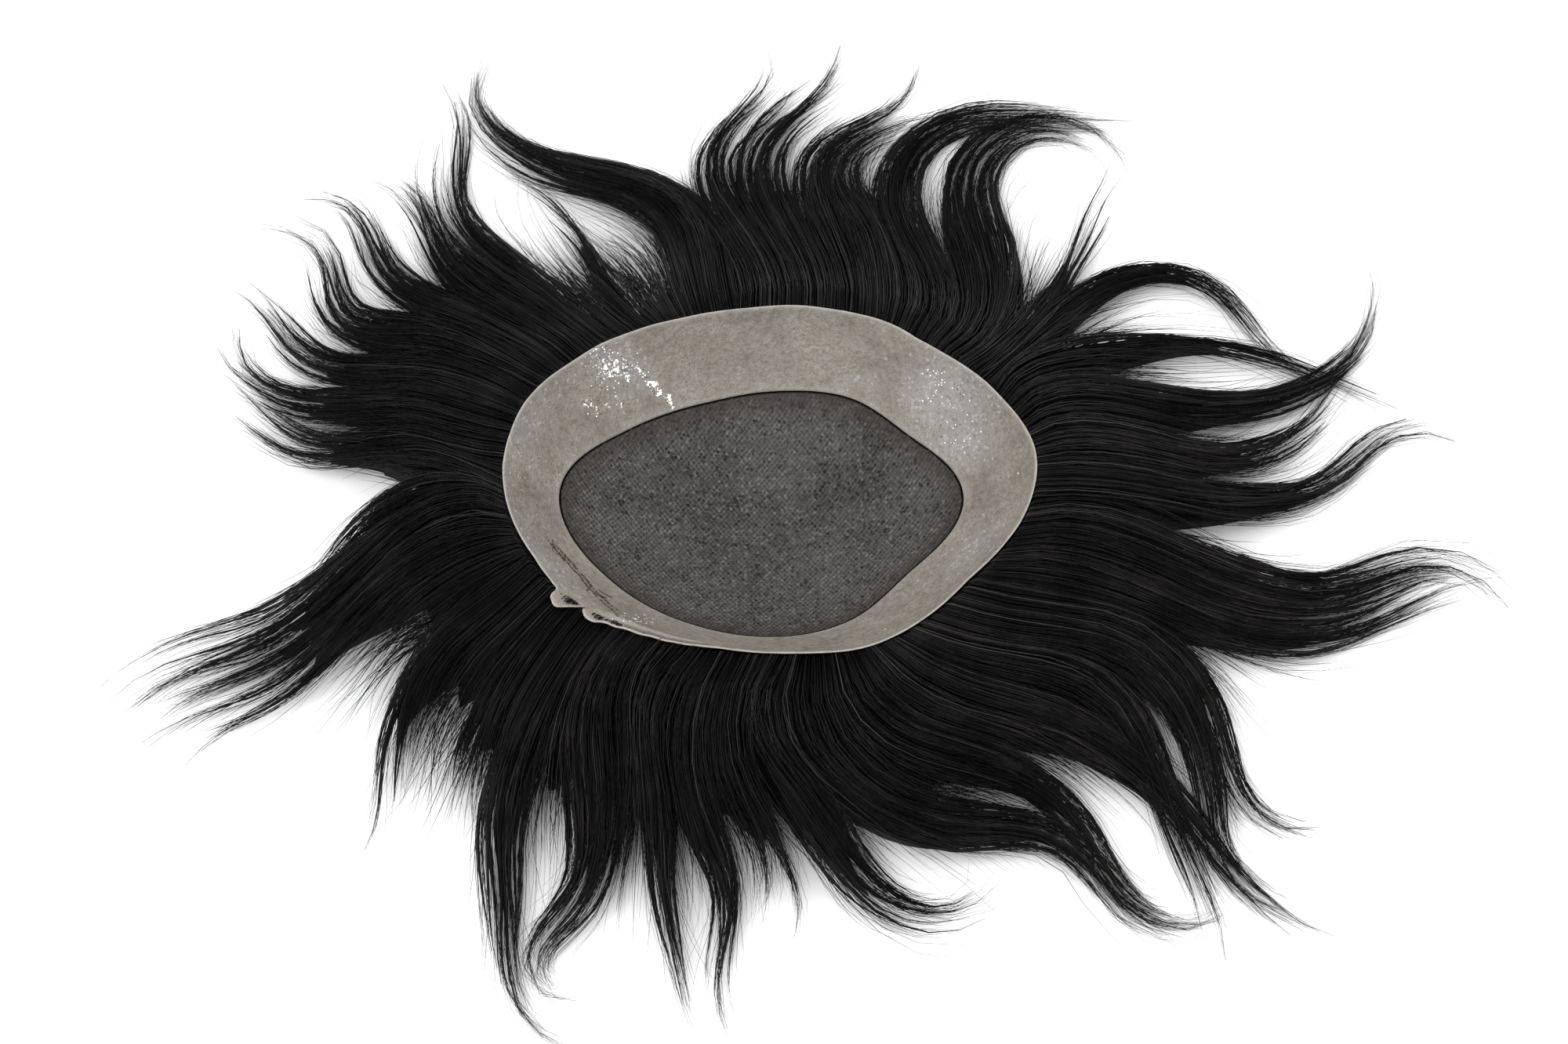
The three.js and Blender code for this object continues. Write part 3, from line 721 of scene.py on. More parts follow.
def lockBunches(row, rng):  # where in the lock each bunch gathers, where it drifts and how long it is
    count = 2 * row["bunches"]
    middle = (np.arange(count) + 0.5) / count * 2 - 1 + rng.uniform(-0.6, 0.6, count) / count
    evenness = 0.55 * min(1, row["fan"] / 0.011)
    reach = 1 - rng.uniform(0.02, 0.34, count) * (0.4 + 0.6 * np.abs(middle)) * (1 - evenness)
    reach[np.abs(middle).argmin()] = 1.02
    return {
        "middle": middle,
        "reach": reach,
        "partsAt": np.full(count, max(0.3, 0.6 - 30 * row["fan"])),
        "size": rng.uniform(0.65, 1.25, count),
        "drift": middle * row["fan"] + rng.normal(0, 0.3 * row["fan"], count),
        "curl": rng.normal(0, 0.001 + 0.5 * row["fan"], count),
        "phase": rng.uniform(0, 1, count),
        "ridge": rng.uniform(0.93, 1.03, count),
        "tone": rng.uniform(0.05, 0.6, count),
    }


def besideLock(region, k, share, lateral, aside):
    # Points beside a lock's middle line: lateral is a share of its half width, aside a distance
    keys = ("runs", "sides")
    run, side = (readRun(np.repeat(region[key][k : k + 1], len(share), 0), share) for key in keys)
    full = hair["lockWidth"] * region["rows"][k]["wide"]
    width = hair["tipWidth"] + (full - hair["tipWidth"]) * taper("width", share)
    return run + side * (width * 0.54 * lateral + aside)[..., None], width


def bunchSway(bunches, own, share, walked):
    keys = ("drift", "curl", "phase", "partsAt")
    drift, curl, phase, partsAt = (bunches[key][own][:, None] for key in keys)
    wave = waving(hair["wave"], hair["waveLength"], share, walked, phase)
    return drift * easeIn(share, partsAt, 1.0) + curl * share**3 + wave


def lyingHeight(share):
    return hair["tipThickness"] + (hair["lockThickness"] - hair["tipThickness"]) * taper("thickness", share)


def bunchSpines(region, k, bunches):  # the dense middle of each bunch, narrowing to its tip
    row, count = region["rows"][k], len(bunches["middle"])
    share = spreadShares(np.full(count, hair["spineStart"]), bunches["reach"] * 0.97, 14)
    done = (share - hair["spineStart"]) / (share[:, -1:] - hair["spineStart"])
    aside = bunchSway(bunches, np.arange(count), share, share * row["long"] * hair["length"])
    flat, width = besideLock(region, k, share, bunches["middle"][:, None], aside)
    full = hair["spineShare"] * bunches["size"][:, None] * width / count
    radius = np.maximum(full * (1 - 0.8 * done**3), 0.00006)
    top = hairTop(flat, np.full(count, float(row["at"])), lyingHeight(share))
    high = np.maximum(top * 0.62 - radius, radius)
    return linesOf(flat, high, radius * 1000, np.full(count, 0.1))


def lockStrands(region, k, bunches, count, start, steps, rng):
    # start is the share of the lock at which its strands join it
    row, column = region["rows"][k], (count, 1)
    at, last = row["at"], len(region["rows"]) - 1
    low = (region["angles"][k - 1] + at) / 2 if k else region["from"]
    high = (region["angles"][k + 1] + at) / 2 if k < last else region["to"]
    across = rng.uniform(-1, 1, count)
    degrees = at + np.where(across < 0, across * (at - low), across * (high - at))
    own = np.abs(across[:, None] - bunches["middle"][None]).argmin(1)
    reach = bunches["reach"][own] * (1 - 0.42 * rng.random(count) ** 1.5)
    isLong = rng.random(count) < hair["longShare"]
    reach = np.where(isLong, np.minimum(reach * rng.uniform(1, 1.25, count), 1.06), reach)
    start = np.zeros(count) if start is None else rng.uniform(*start, count)
    reach = np.maximum(reach, start + 0.15)
    share = spreadShares(start, reach, steps, 0.92)
    done = share / reach[:, None]
    fanned, _ = fannedPath(region, degrees, share)
    gathered = rng.uniform(0.62, 0.97, column) * easeIn(share, 0.28, 0.88)
    lateral = across[:, None] + (bunches["middle"][own] - across)[:, None] * gathered
    walked = share * row["long"] * hair["length"]
    neat, loose = hair["splay"]
    splay = np.where(rng.random(column) < hair["looseShare"], loose, neat)
    splay = np.clip(splay * rng.standard_t(3, column), -hair["mostSplay"], hair["mostSplay"])
    aside = bunchSway(bunches, own, share, walked) + splay * done**3
    aside += waving(0.35 * hair["wave"], hair["fineWaveLength"], share, walked, rng.uniform(0, 1, column))
    centre, _ = besideLock(region, k, share, lateral, aside)
    flat = fanned + (centre - fanned) * easeIn(share, 0.05, 0.5)[..., None]
    dome = 1 - 0.36 * lateral**2 * easeIn(share, 0.1, 0.5)
    upper = 1 - 0.14 * rng.random(column)
    lower = 1 - 0.8 * rng.random(column)
    layer = upper + (lower - upper) * easeIn(share, 0.35, 0.75)
    high = hairTop(flat, degrees, lyingHeight(share)) * dome * bunches["ridge"][own][:, None] * layer
    if start.any():
        high *= 0.6 + 0.4 * easeIn(done, 0.3, 0.6)
    thick = strandThickness(done, rng.uniform(0.75, 1.2, count))
    tone = strandTone(bunches["tone"][own], count, rng)
    return linesOf(flat, high, thick, tone, None if start.any() else degrees)


def wholeLock(region, k, bunches, rng):
    row = region["rows"][k]
    size = row["wide"] * (0.55 + 0.45 * row["long"])
    whole = lockStrands(region, k, bunches, int(hair["wholePerLock"] * size), None, 12, rng)
    tips = lockStrands(region, k, bunches, int(hair["tipsPerLock"] * size), (0.25, 0.45), 8, rng)
    return [whole, tips]


def strandCount(region, kind):
    return int((region["to"] - region["from"]) * hair[kind + "PerDegree"])


def anglesIn(region, kind, beyond, rng):  # where on the rim the strands of one kind start
    return rng.uniform(region["from"] - beyond, region["to"] + beyond, strandCount(region, kind))


def besidePath(region, degrees, share, aside, lying):
    # Points beside the fanned ways and the hair's top there; lying is a share of a lock's thickness
    flat, side = fannedPath(region, degrees, share)
    flat = flat + side * aside[..., None]
    return flat, hairTop(flat, degrees, lying * hair["lockThickness"])


def betweenStrands(region, rng):  # fine strands that veil the ways between the locks
    degrees = anglesIn(region, "between", 0.5, rng)
    count, column = len(degrees), (len(degrees), 1)
    start = rng.uniform(0.1, 0.24, count)
    share = spreadShares(start, start + 0.14 + 0.6 * rng.random(count) ** 1.3, 9)
    walked = share * lengthAt(region, degrees)[:, None]
    aside = waving(hair["wave"], hair["waveLength"], share, walked, rng.uniform(0, 1, column))
    aside += rng.normal(0, 0.004, column) * share**2 + rng.normal(0, 0.006, column) * share**3
    flat, top = besidePath(region, degrees, share, aside, 0.7)
    layer = 0.75 - rng.uniform(0, 0.6, column) * easeIn(share, 0.2, 0.7)
    thick = strandThickness(share / share[:, -1:], rng.uniform(0.5, 0.95, count))
    return linesOf(flat, top * layer, thick, strandTone(0.4, count, rng))


def massStrands(region, rng):  # shorter strands that cover the thick mass round the base
    degrees = anglesIn(region, "mass", hair["beyond"], rng)
    count, column = len(degrees), (len(degrees), 1)
    far = around("mass", degrees) * hair["length"]
    reach = np.clip(far * rng.uniform(0.85, 1.6, count) / lengthAt(region, degrees), 0.2, 0.85)
    share = spreadShares(np.zeros(count), reach, 8)
    walked = share * lengthAt(region, degrees)[:, None]
    aside = waving(hair["massWave"], hair["massWaveLength"], share, walked, rng.uniform(0, 1, column))
    aside += rng.normal(0, 0.003, column) * share**2
    flat, top = besidePath(region, degrees, share, aside, 1.0)
    gone = rootDistance(flat, degrees) / far[:, None]
    layer = 0.93 + 0.07 * rng.random(column) - 0.3 * easeIn(gone, 0.7, 1.4)
    thick = strandThickness(share / reach[:, None], rng.uniform(0.7, 1.15, count))
    return linesOf(flat, top * layer, thick, strandTone(0.3, count, rng), degrees)


def edgeDegrees(region, far, count, rng):  # angles spread evenly along the edge of the mass
    grid = np.linspace(region["from"] - hair["beyond"], region["to"] + hair["beyond"], 160)
    flat, _ = fannedPath(region, grid, (far(grid) / lengthAt(region, grid))[:, None])
    gone = np.cumsum(np.linalg.norm(np.diff(flat[:, 0], axis=0, prepend=flat[:1, 0]), axis=-1))
    return np.interp(rng.uniform(0, gone[-1], count), gone, grid)


def fringeStrands(region, rng):  # short fine strands that break up the edge of the mass
    count = strandCount(region, "fringe")
    degrees, column = edgeDegrees(region, bodyReach, count, rng), (count, 1)
    far, total = bodyReach(degrees), lengthAt(region, degrees)
    start = far * rng.uniform(0.6, 0.98, count) / total
    share = spreadShares(start, start + rng.uniform(0.008, 0.045, count) / total, 5)
    done = np.linspace(0, 1, 5)[None] * np.ones(column)
    aside = rng.normal(0, 0.0055, column) * done**1.5
    flat, top = besidePath(region, degrees, share, aside, 0.8)
    layer = rng.uniform(0.3, 0.85, column) * (0.75 + 0.25 * done)
    thick = strandThickness(done, rng.uniform(0.6, 1.1, count))
    return linesOf(flat, top * layer, thick, strandTone(0.3, count, rng))


def strayStrands(region, rng):  # single fine hairs that leave the flow
    degrees = anglesIn(region, "stray", -1, rng)
    count, column = len(degrees), (len(degrees), 1)
    start = rng.uniform(0.12, 0.4, count)
    share = spreadShares(start, start + rng.uniform(0.2, 0.56, count), 12)
    done = (share - start[:, None]) / 0.5
    aside = rng.normal(0, 0.008, column) * done**2 + rng.normal(0, 0.006, column) * done**3
    flat, top = besidePath(region, degrees, share, aside, 0.4)
    lift = rng.uniform(0, 0.004, column) * share
    thick = strandThickness(share / share[:, -1:], rng.uniform(0.3, 0.5, count))
    return linesOf(flat, top * 0.9 + lift, thick, strandTone(0.5, count, rng))


# The dense body that the strands lie on
body = {
    "degreeStep": 0.9,
    "stations": 12,
    "reach": 0.84,  # against the mass's own reach
    "high": 0.86,
    "overlap": 1.6,  # degrees that it runs on under its neighbours
    "floor": 0.0002,
    "thinnest": 0.0006,
    "coreWidth": 0.62,
    "coreHigh": 0.84,
    "coreEnd": 0.66,
    "coreEndPerFan": 12.0,  # a lock that fans out has a shorter core
    "coreStations": 18,
}


def bodyReach(degrees):
    return around("mass", degrees) * hair["length"] * body["reach"]


def bodySlab(region, rng):  # points in plan, heights and flow coordinates, from the crown to the mass's edge
    start, end = region["from"] - body["overlap"], region["to"] + body["overlap"]
    degrees = np.linspace(start, end, int((end - start) / body["degreeStep"]) + 1)
    column = degrees[:, None]
    wobble = np.interp(degrees, np.linspace(start, end, 24), rng.uniform(0.84, 1.04, 24))
    far = bodyReach(degrees) * (wobble * rng.uniform(0.7, 1.06, len(degrees)))
    share = np.linspace(0, 1, body["stations"])[None] * (far / lengthAt(region, degrees))[:, None]
    flat, _ = fannedPath(region, degrees, share)
    distance = np.linalg.norm(flat - flat[:, :1], axis=-1)
    profile = np.interp(distance / far[:, None], massProfile["share"], massProfile["high"])
    ridge = 1 + 0.03 * np.sin(column * 2.9) + 0.02 * np.sin(column * 7.3 + 1)
    high = fallHeight(column, distance, hair["lockThickness"]) * profile * body["high"] * ridge
    inner = np.linspace(cup["crownShare"] + 0.01, 0.985, 5)[None] * np.ones_like(column)
    under = (cup["skinWall"] + 4 * cup["clearance"]) * slopeFactor(column, inner)
    innerFlat = onCircle(column, inner * rimRadius(column))
    flat = np.concatenate([innerFlat, flat], 1)
    high = np.concatenate([cupHeight(column, inner) - 1.6 * under, high], 1)
    walked = np.concatenate([np.zeros_like(inner), distance], 1)
    uv = np.stack([np.radians(column) * 0.085 * np.ones_like(high), walked], -1)
    return flat, np.maximum(high, body["thinnest"]), uv


def coreSlab(region, k):  # the same for the dense middle of one lock
    row, across = region["rows"][k], np.linspace(-1, 1, 9)
    coreEnd = body["coreEnd"] - body["coreEndPerFan"] * row["fan"]
    share = np.linspace(0, coreEnd, body["coreStations"])
    centre, side = (readRun(region[key][k : k + 1], share[None])[0] for key in ("runs", "sides"))
    narrow = body["coreWidth"] * (1 - easeIn(share, 0.3, coreEnd) * 0.93)
    half = hair["lockWidth"] * row["wide"] * taper("width", share) / 2 * narrow
    flat = centre[:, None] + side[:, None] * (half[:, None] * across)[..., None]
    distance = np.linalg.norm(centre - centre[:1], axis=-1)
    high = fallHeight(row["at"], distance, hair["lockThickness"] * taper("thickness", share))
    high = high * body["coreHigh"] * (1 - 0.9 * easeIn(share, 0.55, coreEnd))
    high = np.maximum(high[:, None] * (1 - 0.75 * across**2), body["thinnest"])
    return flat, high, np.stack([half[:, None] * across, distance[:, None] * np.ones(9)], -1)


def makeBody(region, rng):
    points, faces, flows, start = [], [], [], 0
    for flat, high, uv in [bodySlab(region, rng)] + [coreSlab(region, k) for k in range(len(region["rows"]))]:
        floor = np.full_like(high, body["floor"])
        partPoints, partFaces = slab(raised(flat, high), raised(flat, floor))
        points.append(partPoints)
        faces.append(partFaces + start)
        flows.append(np.resize(uv, (len(partPoints), 2)))
        start += len(partPoints)
    whole = (np.concatenate(points), np.concatenate(faces), massMaterial, None, np.concatenate(flows))
    return closeMesh(meshObject(region["node"] + "_mass", *whole))


for order, region in enumerate(regions):
    rng = np.random.default_rng(40 + order)
    prepare(region)
    dress(makeBody(region, rng), "hair", region["node"])
    bunches = [lockBunches(row, rng) for row in region["rows"]]
    spines = [bunchSpines(region, k, own) for k, own in enumerate(bunches)]
    dress(sweepLines(region["node"] + "_bunches", spines, 0.001, 5, strandMaterial), "hair")
    lines = sum([wholeLock(region, k, own, rng) for k, own in enumerate(bunches)], [])
    kinds = (massStrands, betweenStrands, fringeStrands, strayStrands)
    lines += [makeKind(region, rng) for makeKind in kinds]
    strands = sweepLines(region["node"] + "_strands", lines, hair["strandRadius"], 3, strandMaterial)
    dress(strands, "hair")
    print(region["node"], sum(len(group["at"]) for group in lines), "strands")


# The pad of hair pressed flat under the net
def makeCrown():
    degrees = np.arange(0, 360, 4.0)
    shares = np.linspace(0, cup["crownShare"] - 0.005, 9)[:, None] * np.ones_like(degrees)[None]
    radius = shares * rimRadius(degrees)[None]
    under = (cup["netSink"] + 4 * cup["clearance"]) * slopeFactor(degrees[None], shares)
    top = cupHeight(degrees[None], shares) - under
    bottom = body["floor"] + 0.0006 * (1 - np.cos(degrees * 0.45))[None] * shares
    flow = np.stack([np.radians(degrees)[None] * 0.05 + radius * 0.8, radius], -1)
    return polarWall("hair_crown_pad", degrees, radius, top, bottom, massMaterial, None, flow)


dress(makeCrown(), "hair", "hair_crown")
print("hair made")

# The band of film
film = {
    "wall": 0.0009,
    "rounding": 0.0005,  # how far in from its edges the wall gets thinner
    "fromInner": (0, 0.00012, 0.0004, 0.0009, 0.0016),  # the close rings at its two edges
    "fromOuter": (0.0028, 0.0022, 0.0015, 0.001, 0.0006, 0.0003, 0.0001, 0),
    "degreeStep": 0.8,
    "fineFrom": 205,  # the ruffle and its fold get closer steps
    "fineTo": 255,
    "fineStep": 0.32,
    "ruffleReach": 0.0066,
    "ruffleLift": 0.0026,
    "frillHeight": 0.0007,
    "beadHeight": 0.00014,  # the thickened lines inside the two edges
    "beadWidth": 0.0006,
    "foldAt": 0.0026,  # in from the rim, with the groove beside it
    "foldHeight": 0.0005,
    "grooveAt": 0.0015,
    "grooveDepth": 0.0006,
    "lineDepth": 0.00016,  # the two drawn lines
    "lineWidth": 0.0006,
    "linesApart": 0.0015,
    "undulation": 0.00026,
    "crinkle": 0.0003,
    "rimWobble": 0.0003,
}
creaseTable = {"at": (196, 203, 210, 218, 228), "across": (0.42, 0.36, 0.38, 0.5, 0.72)}  # the first line
ruffleTable = {
    "at": (209, 212.6, 214, 216, 217.8, 219.2, 220.6, 222.4, 224.4, 227, 231, 238, 247, 255),
    "out": (0, 0.1, 0.8, 1.05, 0.85, 0.0, 0.45, 0.75, 0.7, 0.5, 0.35, 0.2, 0.08, 0),
    "up": (0, 0.1, 0.8, 0.6, 1.1, -0.9, 0.4, 1.0, 0.2, 0.5, 0.2, 0.1, 0, 0),
}
trim = {  # where the film stays inside the rim
    "at": (25, 48, 70, 100, 150, 180, 203, 212, 300, 328, 345),
    "in": (0.0008, 0.0023, 0.001, 0.0003, 0.0006, 0.0004, 0.0026, 0.0014, 0.0003, 0.0024, 0.001),
}
# Patches on the band: kind, angle, place across it, half sizes round and across it, and strength
patchColumns = ("kind", "at", "across", "round", "over", "strength")
patchRows = [
    ("crinkle", 140, 0.72, 6.5, 0.27, 1.05),
    ("crinkle", 146, 0.4, 4, 0.16, 0.6),
    ("crinkle", 133.5, 0.56, 2.2, 0.13, 1.1),
    ("crinkle", 132, 0.34, 2.0, 0.16, 1.45),
    ("crinkle", 130.5, 0.14, 1.6, 0.14, 1.3),
    ("crinkle", 152, 0.46, 2.4, 0.16, 0.95),
    ("crinkle", 31, 0.6, 8, 0.28, 0.48),
    ("crinkle", 37, 0.75, 4, 0.16, 0.62),
    ("crinkle", 20, 0.36, 7, 0.24, 0.6),
    ("crinkle", 229.5, 0.6, 4, 0.3, 0.9),
    # these patches paint sheen onto the film and make it greyer
    ("sheenAndGreyPatch", 139, 0.75, 8, 0.35, 0.5),
    ("sheenAndGreyPatch", 31, 0.58, 13, 0.42, 0.9),
    ("sheenAndGreyPatch", 17, 0.32, 8, 0.32, 0.85),
    ("sheenAndGreyPatch", 339, 0.6, 9, 0.3, 0.6),
    ("sheenAndGreyPatch", 206, 0.95, 9, 0.3, 0.7),
    ("sheenAndGreyPatch", 170, 0.9, 14, 0.25, 0.4),
    ("sheenAndGreyPatch", 56, 0.26, 8, 0.1, 0.5),
]


def planeWaves(flat, count, shortest, longest, rng):
    total = np.zeros(flat.shape[:-1])
    for _ in range(count):
        heading = rng.uniform(0, np.pi)
        length = rng.uniform(shortest, longest)
        swing = (flat[..., 0] * np.cos(heading) + flat[..., 1] * np.sin(heading)) / length
        total += np.sin(2 * np.pi * (swing + rng.random()))
    return total / math.sqrt(count / 2)


def patchMask(kind, degrees, across):
    mask = np.zeros_like(across)
    for row in (dict(zip(patchColumns, values)) for values in patchRows):
        if row["kind"] == kind:
            apart = ((degrees - row["at"] + 180) % 360 - 180)[None] / row["round"]
            nearby = apart**2 + ((across - row["across"]) / row["over"]) ** 2
            mask = np.maximum(mask, row["strength"] * np.exp(-0.9 * nearby**1.4))
    return mask


def lineMask(distance, middle, width):
    return np.exp(-(((distance - middle) / width) ** 2))


def between(value, a, b, c, d):  # rises from a to b and falls from c to d
    return easeIn(value, a, b) * (1 - easeIn(value, c, d))


def filmRings():  # the angles, the radius of the band's two edges, and the radius of every ring
    start, end = film["fineFrom"], film["fineTo"]
    coarse = np.arange(end, 360 + start, film["degreeStep"])
    degrees = np.mod(np.concatenate([coarse, np.arange(start, end, film["fineStep"])]), 360)
    rim, turn = rimRadius(degrees), np.radians(degrees)
    wobble = film["rimWobble"] * (np.sin(turn * 9 + 1) + np.sin(turn * 14)) / 2
    outer = rim + (wobble - np.interp(degrees, trim["at"], trim["in"], period=360))
    inner = around("net", degrees) * rim
    first, last = inner + film["fromInner"][-1], outer - film["fromOuter"][0]
    rows = [inner + offset for offset in film["fromInner"]]
    rows += [first + (last - first) * share for share in np.linspace(0, 1, 17)[1:-1]]
    rows += [outer - offset for offset in film["fromOuter"]]
    return degrees, inner, outer, np.array(rows)


def ruffleAt(degrees):  # how far the ruffle goes out and up
    soft = np.hanning(7) / np.hanning(7).sum()
    sharp = (np.interp(degrees, ruffleTable["at"], ruffleTable[key]) for key in ("out", "up"))
    return (np.convolve(column, soft, "same")[None] for column in sharp)


def makeFilm():
    rng = np.random.default_rng(7)
    degrees, inner, outer, radius = filmRings()
    toInner, toOuter = radius - inner, outer - radius
    across = toInner / (outer - inner)
    flat = onCircle(degrees[None], radius)
    share = np.minimum(radius / rimRadius(degrees), 1)
    high = cupHeight(degrees[None], share)
    # Patches, edges, the drawn lines, the frill and its fold, as masks on the points
    crinkle, sheenAndGreyPatch = patchMask("crinkle", degrees, across), patchMask("sheenAndGreyPatch", degrees, across)
    bead, hem = lineMask(toOuter, film["beadWidth"], 0.0004), lineMask(toInner, film["beadWidth"], 0.0005)
    inked = between(degrees, 194, 198, 222, 228) * np.ones_like(across)
    away = (across - np.interp(degrees, creaseTable["at"], creaseTable["across"])) * (outer - inner)
    lines = [lineMask(away, middle, film["lineWidth"]) for middle in (0.0, film["linesApart"])]
    dip = np.maximum(lines[0], 0.9 * lines[1]) * inked
    foldRun = between(degrees, 221, 227, 244, 256)
    ridge, groove = (lineMask(toOuter, film[key], 0.0005) * foldRun for key in ("foldAt", "grooveAt"))
    out, up = ruffleAt(degrees)
    push = easeIn(across, 0.76, 1.0)
    frill = np.clip(out * 1.4, 0, 1) * push
    # Heights
    high += film["undulation"] * planeWaves(flat, 12, 0.012, 0.035, rng) * easeIn(toInner, 0, 0.004)
    ridges = 0.5 - np.abs(planeWaves(flat, 14, 0.0028, 0.007, rng))
    high += film["crinkle"] * ridges * np.minimum(crinkle + 0.4 * sheenAndGreyPatch, 1) * easeIn(toInner, 0, 0.003)
    high += film["beadHeight"] * (bead + 0.5 * hem) - film["lineDepth"] * dip
    high += film["foldHeight"] * ridge - film["grooveDepth"] * groove
    high += film["ruffleLift"] * up * push
    high += film["frillHeight"] * frill * np.sin(np.radians(degrees) * 61) * easeIn(across, 0.8, 0.95)
    # The wall, thin at its two rounded edges
    fill = np.minimum(np.minimum(toOuter, toInner) / film["rounding"], 1)
    fill = np.sqrt(1 - (1 - fill) ** 2) * 0.8 + 0.2
    wall = film["wall"] * slopeFactor(degrees[None], share)
    top, bottom = (high - wall * (1 + way * fill) / 2 for way in (-1, 1))
    # paler at the band's two edges, and a painted highlight along the fold's ridge
    edge = 0.9 * lineMask(toOuter, 0, 0.00075) + 0.5 * np.exp(-toInner / 0.0007) + 0.6 * ridge
    masks = {"crinkle": crinkle, "sheenAndGreyPatch": sheenAndGreyPatch, "edge": np.clip(edge, 0, 1)}
    # the groove beside the fold is painted dark as its shade
    masks.update({"grooveShade": groove * 0.7, "frill": frill, "inked": inked})
    masks["away"] = np.clip(away * 1000, -6, 6)  # in millimetres
    masks["under"] = np.repeat([0.0, 1.0], radius.size)
    radius = radius + film["ruffleReach"] * out * push
    return polarWall("skin_film", degrees, radius, top, bottom, filmMaterial, masks)


dress(makeFilm(), "skin_film", "skin_band")
print("film made")

# The net: a thin cloth in the cup, and its threads
net = {
    "wall": 0.0005,
    "pitch": 0.00135,
    "reach": 0.08,  # half the length of the longest thread
    "headings": (52, 128),
    "threadRadius": 0.00017,
    "jointWidth": 0.0005,  # the painted shadow line where the net goes under the film
    "borderWidth": 0.009,
    "weave": 0.00013,  # how far a thread goes over and under the others
    "underFilm": 0.0001,  # the gap between the cloth's margin and the film
}


def netBorder(fromEdge):  # browner towards the film
    return 1 - easeIn(fromEdge, 0.0, net["borderWidth"])


def makeNetCloth():
    degrees = np.arange(0, 360, 4.0)
    rim, edge = rimRadius(degrees), around("net", degrees)
    shares = [edge * step for step in np.linspace(0, 0.95, 12)]
    shares += [edge - net["jointWidth"] * lap / rim for lap in (2.0, 1.0)]
    depth = [cup["netSink"] + net["threadRadius"]] * len(shares)
    margins = (-cup["clearance"], cup["netMargin"] * 0.5, cup["netMargin"])
    shares = np.array(shares + [edge + margin / rim for margin in margins])
    depth += [cup["skinWall"] + cup["clearance"] + net["underFilm"]] * len(margins)
    slope = slopeFactor(degrees[None], shares)
    top = cupHeight(degrees[None], shares) - np.array(depth)[:, None] * slope
    bottom = top - net["wall"] * slope
    fromEdge = (edge - shares) * rim
    # the painted shadow at the net's edge, under the film
    jointShadow = 1 - easeIn(fromEdge, net["jointWidth"], net["jointWidth"] * 2)
    masks = {"tone": netBorder(fromEdge), "jointShadow": jointShadow}
    return polarWall("net_cloth", degrees, shares * rim, top, bottom, clothMaterial, masks)


def polarOf(flat):  # the angle of points in plan, and their share of the rim's radius
    degrees = np.degrees(np.arctan2(flat[:, 1], flat[:, 0]))
    return degrees, np.hypot(flat[:, 0], flat[:, 1]) / rimRadius(degrees)


def netThreads():  # two families of threads that cross at every pitch, over and under in turn
    bunches = []
    walked = np.arange(-net["reach"], net["reach"], net["pitch"])
    for family, heading in enumerate(np.radians(net["headings"])):
        way = np.array([math.cos(heading), math.sin(heading)])
        side = np.array([-way[1], way[0]])
        for k in range(int(2 * net["reach"] / net["pitch"]) + 1):
            flat = walked[:, None] * way + (k * net["pitch"] - net["reach"]) * side
            degrees, share = polarOf(flat)
            fromEdge = (around("net", degrees) - share) * rimRadius(degrees)
            inside = fromEdge > net["jointWidth"]
            if inside.sum() < 3:
                continue
            parity = (np.arange(len(walked)) + k + family) % 2 * 2 - 1
            high = cupHeight(degrees, share) - cup["netSink"] + net["weave"] * parity
            at = raised(flat, high)[inside][None]
            bunches.append({"at": at, "thick": 1.0, "tone": netBorder(fromEdge[inside])})
    return bunches


netCloth = dress(makeNetCloth(), "net", "mono_net")
threads = sweepLines("net_threads", netThreads(), net["threadRadius"], 3, threadMaterial)
dress(threads, "net")
print("net made")


# Short hairs caught on the film along the drawn lines
caught = {"from": 196, "to": 224, "count": 11, "points": 7, "radius": 0.00016, "lift": 0.00012}


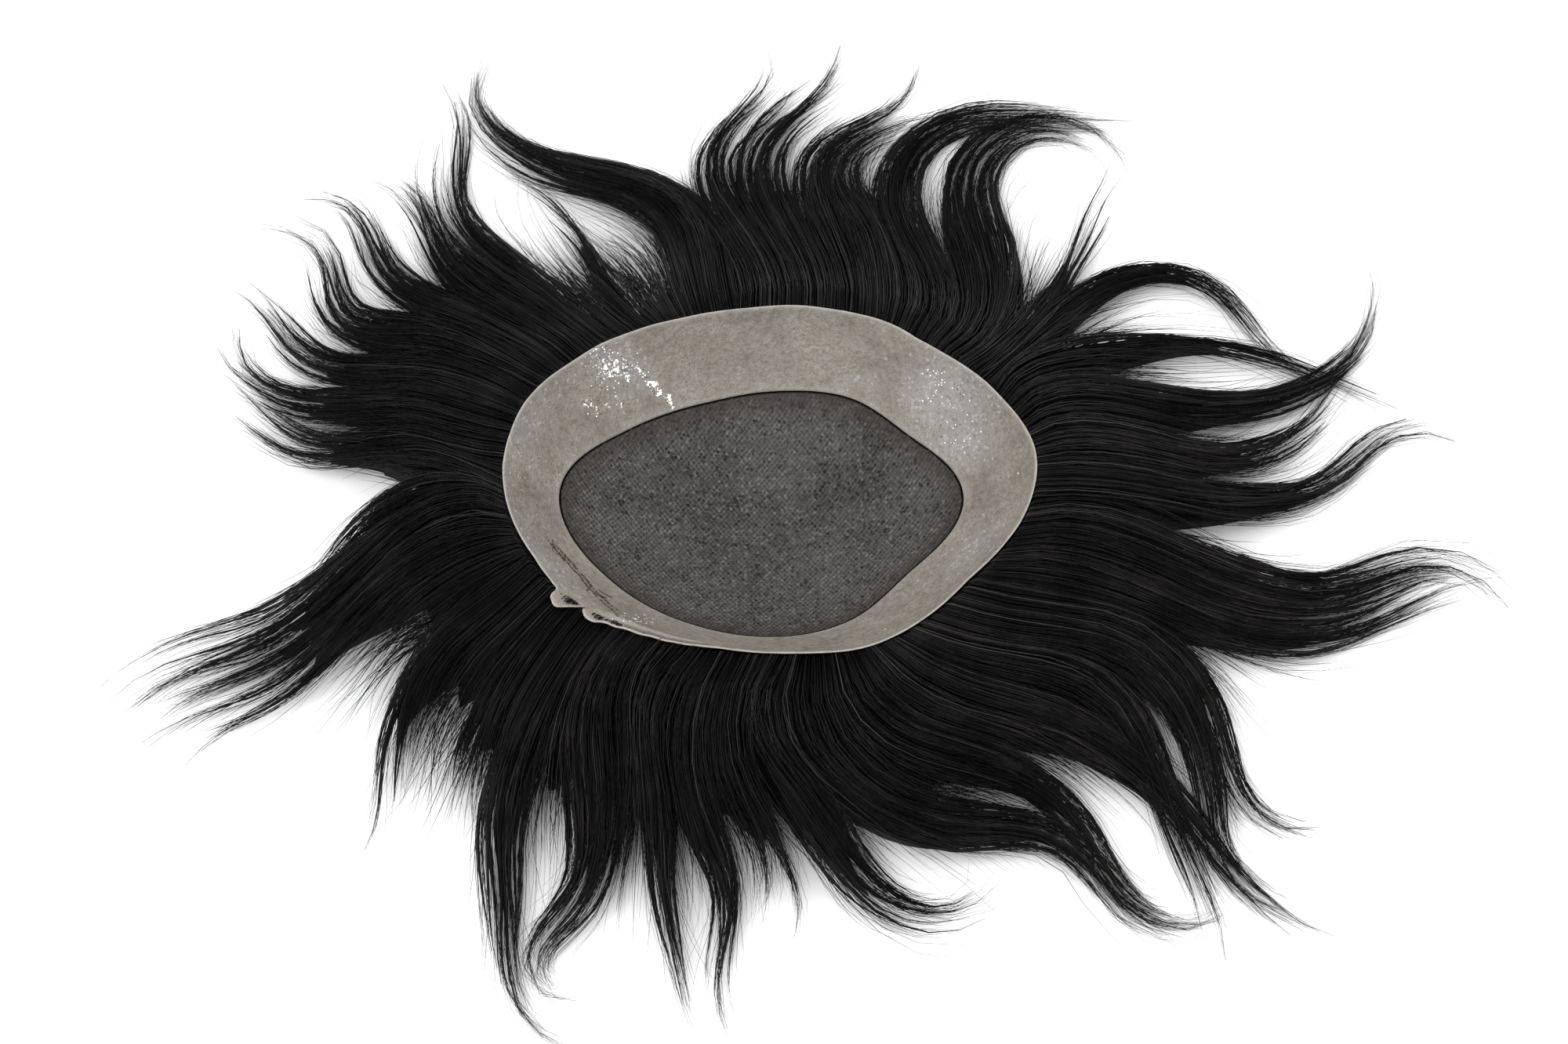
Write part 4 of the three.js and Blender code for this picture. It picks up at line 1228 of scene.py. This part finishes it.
def makeCaughtHairs():
    rng = np.random.default_rng(11)
    bunches = []
    for at in np.sort(rng.uniform(caught["from"], caught["to"], caught["count"])):
        across = np.interp(at, creaseTable["at"], creaseTable["across"]) + rng.normal(0, 0.05)
        heading = math.radians(at + 90 + rng.normal(0, 25))
        heading = heading + np.linspace(0, rng.normal(0, 1.4), caught["points"])
        step = rng.uniform(0.0004, 0.0009)
        walked = np.cumsum(step * np.stack([np.cos(heading), np.sin(heading)], 1), 0)
        flat = walked + onCircle(at, (around("net", at) * (1 - across) + across) * rimRadius(at))
        high = cupHeight(*polarOf(flat)) + caught["lift"]
        bunches.append({"at": raised(flat, high)[None], "thick": rng.uniform(0.6, 1.0), "tone": 0.9})
    return sweepLines("caught_hairs", bunches, caught["radius"], 3, strandMaterial)


dress(makeCaughtHairs(), "hair")

# Camera, floor and light
view = {"elevation": 60.0, "distance": 1.046, "target": (0.0045, 0.0094, 0.0), "lens": 70.0, "sensor": 36.0}
stage = {
    "floorHalf": 4.0,
    "floorColour": colour(0.95, 0.95, 0.95),
    "skyStrength": 1.12,
    "keyLight": (10.0, 0.9, (-0.5, -0.4, 1.25), (18, -21, 0)),  # power, size, place and turn
    "fillLight": (3.0, 1.4, (0.8, 0.3, 1.3), (-12, 30, 0)),
}


def makeCamera():
    data = bpy.data.cameras.new("camera")
    data.lens, data.sensor_width = view["lens"], view["sensor"]
    made = addObject("camera", data)
    tilt = math.radians(view["elevation"])
    x, y, z = view["target"]
    made.location = (x, y - view["distance"] * math.cos(tilt), z + view["distance"] * math.sin(tilt))
    made.rotation_euler = (math.pi / 2 - tilt, 0, 0)
    bpy.context.scene.camera = made


def makeFloor():
    half = stage["floorHalf"]
    corners = np.array([(-half, -half, 0), (half, -half, 0), (half, half, 0), (-half, half, 0)], float)
    material, _, shader = newMaterial("paleFloor", Specular_IOR_Level=0.1, Roughness=0.9)
    shader.inputs["Base Color"].default_value = stage["floorColour"]
    meshObject("floor", corners, np.array([(0, 1, 2, 3)]), material)


def addLight(name):
    data = bpy.data.lights.new(name, "AREA")
    data.energy, data.size, where, turn = stage[name]
    made = addObject(name, data)
    made.location = where
    made.rotation_euler = [math.radians(angle) for angle in turn]


def makeWorld():
    world = bpy.data.worlds.new("world")
    bpy.context.scene.world = world
    world.use_nodes = True
    backdrop = world.node_tree.nodes["Background"]
    backdrop.inputs["Color"].default_value = colour(1, 1, 1)
    backdrop.inputs["Strength"].default_value = stage["skyStrength"]


makeCamera()
makeFloor()
makeWorld()
addLight("keyLight")
addLight("fillLight")
bpy.context.scene.view_settings.view_transform = "Standard"
print("stage made")
